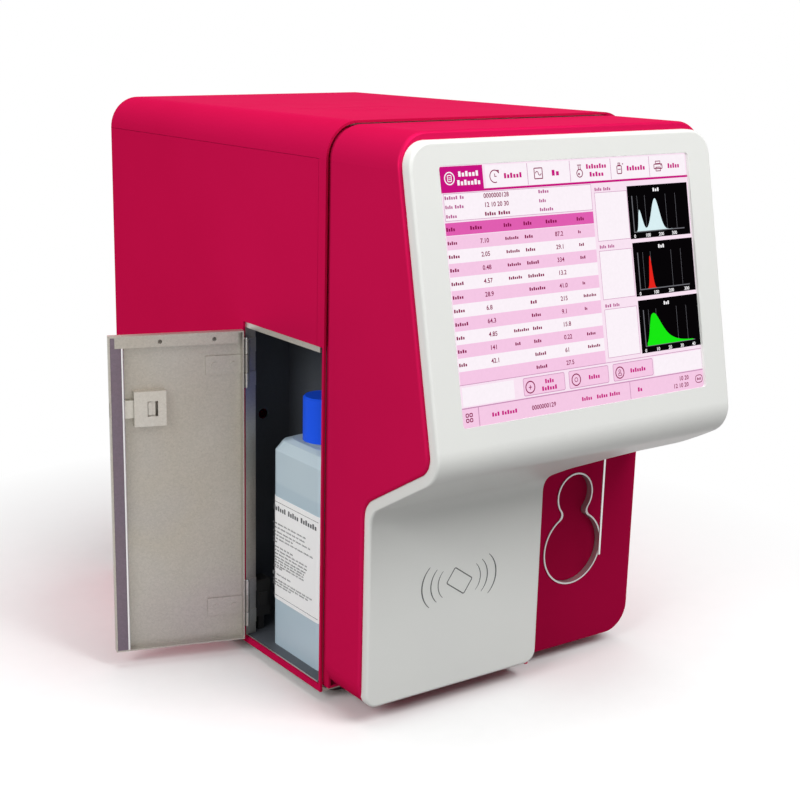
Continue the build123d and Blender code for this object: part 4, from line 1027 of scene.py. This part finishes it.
place_picture("picture_ground", "ground", "ground", [(box, LEFT_SIDE, 0, RIGHT_SIDE, BOTTOM)])
place_picture("picture_pale_fields", "pale", "field",
              [(box, 330, 8, 1955, 138), (box, 15, 160, 1135, 310)]
              + table_rows(1)
              + [(box, 1162, 212, 1428, 505), (box, 1162, 567, 1430, 862), (box, 1164, 925, 1432, 1220),
                 (box, 15, 1262, 400, 1372), (box, 1540, 1256, 1962, 1376)])
place_picture("picture_rows", "row", "field", table_rows(0))
place_picture("picture_status_bar", "bar", "field",
              [(box, LEFT_SIDE, 1386, RIGHT_SIDE, BOTTOM)]
              + [(box, x0, 1262, x1, 1370, 12) for x0, x1 in BUTTONS])
place_picture("picture_table_head", "header", "field", [(box, TABLE_LEFT, 322, TABLE_RIGHT, 394)])
place_picture("picture_tab", "magenta", "strip",
              [(box, LEFT_SIDE, 4, 312, 146), (box, LEFT_SIDE, 140, RIGHT_SIDE, 153)])
place_picture("picture_lines", "line", "strip",
              [(box, x, 10, x + 4, 136) for x in (645, 978, 1310, 1637)]
              + [(border, 12, 157, 1138, 313, 3), (border, 1160, 210, 1430, 507, 3),
                 (border, 1160, 565, 1432, 864, 3), (border, 1162, 923, 1434, 1222, 3),
                 (box, LEFT_SIDE, 1246, RIGHT_SIDE, 1250), (box, LEFT_SIDE, 1380, RIGHT_SIDE, 1387),
                 (box, 118, 1387, 124, BOTTOM), (box, 1318, 1387, 1323, BOTTOM)]
              + [(border, x0, 1262, x1, 1370, 4, 12) for x0, x1 in BUTTONS])
place_picture("picture_graph_grounds", "black", "strip", [(box,) + panel for panel in PANELS])

graph_axes = []
for (x0, y0, x1, y1), starts in zip(PANELS, (33, 35, 36)):
    low = y1 - 44
    left, high = x0 + starts, y0 + 62
    graph_axes += [(box, left, high, left + 7, low), (box, left, low, x1 - 50, low + 6)]
    graph_axes += [(box, left + k, high, left + k + 2, low) for k in (45, 110, 290, 375)]
place_picture("picture_graph_axes", "axis", "mark", graph_axes)
place_picture("picture_cell_curve", "ice", "figure", [(curve, 1492, 1800, 468, cell_curve)])
place_picture("picture_red_curve", "red", "figure", [(curve, 1546, 1622, 826, red_curve)])
place_picture("picture_platelet_curve", "green", "figure", [(curve, 1500, 1905, 1183, platelet_curve)])

# words of the picture as unreadable blocks, row by row: widths, or start and width for the units on the left
NAMES_LEFT = (72, 82, 68, 92, 82, 82, 98, 62, 68, 62, 0)
NAMES_RIGHT = (66, 76, 96, 128, 128, 52, 74, 74, 60, 88, 88)
UNITS_LEFT = [(435, 104)] * 4 + [None] * 3 + [(438, 118), (438, 44)] + [None] * 2
UNITS_RIGHT = (24, 42, 46, 0, 24, 106, 24, 0, 74, 104, 0)
UNITS_HIGH = 18
HEAD_WORDS = ((12, 66), (184, 90), (432, 62), (582, 66), (754, 92), (1000, 62))
table_words = []
for k in range(ROWS):
    y = row_middle(k)
    if NAMES_LEFT[k]:
        table_words.append((text, 12, y, NAMES_LEFT[k]))
    table_words.append((text, 583, y, NAMES_RIGHT[k]))
    if UNITS_LEFT[k]:
        start, wide = UNITS_LEFT[k]
        table_words.append((text, start, y, wide, UNITS_HIGH))
    if UNITS_RIGHT[k]:
        table_words.append((text, 1003, y, UNITS_RIGHT[k], UNITS_HIGH))
place_picture("picture_table_words", "words", "mark",
              table_words + [(text, x, 359, wide, 22) for x, wide in HEAD_WORDS])
place_picture("picture_tab_words", "magenta", "mark",
              [(text, 468, 75, 140, 30), (text, 835, 75, 66, 34), (text, 1112, 50, 170, 28),
               (text, 1136, 98, 120, 28), (text, 1447, 75, 160, 30), (text, 1800, 75, 106, 30)]
              + [(text, 640, 1299, 72, 26), (text, 612, 1341, 122, 26), (text, 988, 1318, 94, 26),
                 (text, 1335, 1318, 134, 26)]
              + [(text, x, STATUS_DROP, wide, 24)
                 for x, wide in ((218, 60), (292, 120), (918, 86), (1040, 92), (1146, 90))]
              + [(text, 1385, STATUS_DROP, 42, 26)])
place_picture("picture_soft_words", "soft_words", "mark",
              [(text, x, y, wide)
               for x, y, wide in ((20, 181, 96), (130, 181, 32), (20, 233, 56), (88, 233, 68), (20, 286, 80),
                                  (718, 180, 84), (718, 234, 56), (718, 286, 108), (1165, 191, 60),
                                  (1237, 191, 62), (1168, 541, 56), (1236, 541, 56), (1172, 902, 54),
                                  (1238, 902, 56))])
place_picture("picture_value_words", "words", "mark",
              [(text, 302, 286, 84, 22), (text, 402, 286, 92, 22)])
place_picture("picture_tab_sign", "white", "mark",
              [(hoop, 68, 72, 38, 7), (border, 52, 52, 84, 92, 5, 6), (box, 60, 66, 76, 70),
               (box, 60, 76, 76, 80), (text, 134, 50, 152, 30), (text, 122, 99, 174, 30),
               (text, 1652, 217, 58, 22), (text, 1660, 570, 56, 22), (text, 1668, 928, 50, 22)])


def turn_arrow(x, y, radius):
    """Open ring with a small head, the sign for going over past results."""
    arc(across(x), down(y), radius * DOT, 6 * DOT, 0.5, 4.6)
    box(x - 2, y - 16, x + 3, y + 3)
    box(x - 2, y - 2, x + 14, y + 3)
    box(x + 16, y - 36, x + 34, y - 30)
    box(x + 28, y - 36, x + 34, y - 18)


def flask(x, y):
    """Round flask with a neck."""
    hoop(x, y + 12, 26, 6)
    box(x - 10, y - 36, x - 5, y - 8)
    box(x + 5, y - 36, x + 10, y - 8)
    box(x - 16, y - 40, x + 16, y - 35)
    dot(x - 6, y + 16, 7)


def printer(x, y):
    """Printer: a tray, a body and a sheet."""
    border(x - 38, y - 14, x + 38, y + 20, 6, 8)
    border(x - 22, y - 32, x + 22, y - 12, 5)
    border(x - 22, y + 6, x + 22, y + 34, 5)
    dot(x + 26, y - 4, 4)


def bottle_sign(x, y):
    border(x - 24, y - 20, x + 20, y + 34, 6, 10)
    border(x - 12, y - 36, x + 8, y - 18, 5)
    box(x - 14, y + 2, x + 10, y + 7)
    box(x + 24, y - 30, x + 34, y - 24)


def wave_sign(x, y):
    border(x - 34, y - 34, x + 34, y + 34, 6, 6)
    arc(across(x - 11), down(y), 11 * DOT, 5 * DOT, 0.0, 3.1)
    arc(across(x + 11), down(y), 11 * DOT, 5 * DOT, 3.14, 3.1)


place_picture("picture_signs", "words", "figure",
              [(turn_arrow, 398, 75, 36), (wave_sign, 730, 73), (flask, 1056, 76), (bottle_sign, 1385, 74),
               (printer, 1715, 72)]
              + [(hoop, x, ICON_DROP, 38, 7) for x in (522, 885, 1245)]
              + [(box, 510, 1318, 534, 1323), (box, 520, 1308, 525, 1334), (hoop, 885, ICON_DROP, 14, 4),
                 (hoop, 1245, 1310, 10, 4), (border, 1230, 1322, 1260, 1340, 4, 6)]
              + [(border, x, y, x + 24, y + 24, 6, 8) for x in (24, 52) for y in (1412, 1442)]
              + [(border, 1892, 1414, 1958, 1466, 5, 22), (text, 1908, 1440, 36, 16)])


# how far figures drop below their middle line and how much bolder they are, as shares of their size
FIGURE_DROP = 0.36
FIGURE_BOLD = 0.018


def figures(name, ink, entries, high):
    """Plain numbers, set as text and turned into one flat mesh."""
    bpy.ops.object.select_all(action="DESELECT")
    made = []
    for number, x, y in entries:
        bpy.ops.object.text_add(location=(across(x), down(y) - high * DOT * FIGURE_DROP, 0))
        line = bpy.context.object
        line.data.body = number
        line.data.size = high * DOT
        line.data.resolution_u = 3
        line.data.offset = FIGURE_BOLD * high * DOT
        bpy.ops.object.convert(target="MESH")
        made.append(bpy.context.object)
    for line in made:
        line.select_set(True)
    bpy.context.view_layer.objects.active = made[0]
    bpy.ops.object.join()
    sheet = bpy.context.object
    sheet.name = name
    bpy.ops.object.transform_apply(location=True, rotation=True, scale=True)
    bpy.ops.object.mode_set(mode="EDIT")
    bpy.ops.mesh.select_all(action="SELECT")
    flip_to_front(sheet)
    return end_flat(sheet, inks[ink], screen_plane(LAYERS["mark"]))


LEFT_VALUES = ("7.10", "2.05", "0.48", "4.57", "28.9", "6.8", "64.3", "4.85", "141", "42.1", "")
RIGHT_VALUES = ("87.2", "29.1", "334", "13.2", "41.0", "215", "9.1", "15.8", "0.22", "61", "27.5")
values = [(number, 248, row_middle(k)) for k, number in enumerate(LEFT_VALUES) if number]
values += [(number, 818, row_middle(k)) for k, number in enumerate(RIGHT_VALUES)]
values += [("0000000128", 302, 181), ("12 10 20 30", 302, 233), ("0000000129", 520, STATUS_DROP),
           ("10 20", 1748, 1418), ("12 10 20", 1694, 1462)]
figures("picture_values", "words", values, 38)

# numbers under each graph: the drop of their line, then each number and its place across
SCALES = [(495, [("0", 1463), ("100", 1560), ("200", 1675), ("300", 1790)]),
          (853, [("0", 1468), ("100", 1590), ("200", 1722), ("300", 1860)]),
          (1210, [("0", 1476), ("10", 1574), ("20", 1680), ("30", 1785), ("40", 1890)])]
scale_numbers = [(number, x, drop) for drop, scale in SCALES for number, x in scale]
figures("picture_scale_numbers", "white", scale_numbers, 30)

# card mark printed on the lower panel, in millimetres across and up: a card between curved waves
PANEL_FRONT = SEAM + PANEL_DEPTH
PANEL_PRINT_LIFT = 0.04
MARK_MIDDLE = (-59.4, 98.4)
CARD_HALF_WIDE = 11.4
CARD_HALF_HIGH = 7.8
CARD_CORNER = 1.8
CARD_LINE = 0.95
CARD_TURN = math.radians(35)
CARD_REACH = 13.8
# each wave's hub from the middle, radius, half angle and line
WAVES = [(15.3, 22.7, 0.86, 1.3), (10.1, 18.9, 0.83, 1.1), (6.2, 15.5, 0.82, 0.9)]
WAVE_TAPER = 0.6
panel_print = print_ink("panel_print", (0.085, 0.088, 0.09, 1), 0.45)


def card_mark():
    sheet = start_flat("card_mark")
    x, z = MARK_MIDDLE
    for hub, radius, half, line in WAVES:
        arc(x + hub, z, radius, line, -half, 2 * half, 18, WAVE_TAPER)
        arc(x - hub, z, radius, line, math.pi - half, 2 * half, 18, WAVE_TAPER)
    bpy.ops.mesh.select_all(action="DESELECT")
    frame_line(x - CARD_HALF_WIDE, z - CARD_HALF_HIGH, x + CARD_HALF_WIDE, z + CARD_HALF_HIGH,
               CARD_LINE, CARD_CORNER)
    # the card's outline is the only part whose points lie near the middle, and it alone is turned
    flat = bmesh.from_edit_mesh(sheet.data)
    for vert in flat.verts:
        vert.select_set(math.hypot(vert.co.x - x, vert.co.y - z) < CARD_REACH)
    bmesh.update_edit_mesh(sheet.data)
    bpy.ops.transform.rotate(value=CARD_TURN, orient_axis="Z", center_override=(x, z, 0))
    flip_to_front(sheet)
    plane = facing((0, PANEL_FRONT - PANEL_PRINT_LIFT, 0), (1, 0, 0), (0, 0, 1))
    return end_flat(sheet, panel_print, plane)


card_mark()

# label of the bottle: rules and unreadable lines on its left side, in millimetres from its back edge and up
LABEL_FACE_X = -140.25
LABEL_BACK = SEAM + 110.0
LABEL_PRINT_LIFT = 0.05
RULES = (136.6, 51.4)
RULE_THICK = 0.4
RULE_START = 8
RULE_END = 79
TITLE_MIDDLE = 131.2
TITLE_HIGH = 4.6
TITLE_WORDS = [(9, 20), (32, 17), (52, 25)]
LINE_HIGH = 1.5
WORD_GAP = 1.3
WORD_WIDTHS = (5.2, 8.1, 3.4, 6.6, 9.4)
# each line's height, start and end
LABEL_TEXT = [(117.5, 8, 60), (113.8, 9, 61), (110.0, 8, 67), (106.9, 9, 40), (103.8, 8, 73), (100.6, 8, 17),
              (96.3, 10, 40), (93.1, 10, 62), (90.0, 10, 63), (86.9, 10, 60), (84.4, 10, 58), (81.9, 10, 57),
              (79.4, 10, 59), (77.5, 9, 23), (71.3, 14, 39), (66.3, 8, 70), (63.8, 8, 64), (61.3, 8, 37)]
label_print = print_ink("label_print", (0.10, 0.105, 0.115, 1), 0.6)


def label_lines():
    sheet = start_flat("label_lines")
    for low in RULES:
        rectangle(RULE_START, low, RULE_END, low + RULE_THICK)
    for start, wide in TITLE_WORDS:
        word(start, TITLE_MIDDLE, wide, TITLE_HIGH)
    for k, (z, start, end) in enumerate(LABEL_TEXT):
        x = start
        while x < end - 2:
            wide = min(WORD_WIDTHS[(k + round(x)) % len(WORD_WIDTHS)], end - x)
            word(x, z, wide, LINE_HIGH)
            x += wide + WORD_GAP
    # a small square sign before the line that starts further in
    rectangle(7.5, 69.6, 11.5, 73.0)
    flip_to_front(sheet)
    plane = facing((LABEL_FACE_X - LABEL_PRINT_LIFT, LABEL_BACK, 0), (0, -1, 0), (0, 0, 1))
    return end_flat(sheet, label_print, plane)


label_lines()
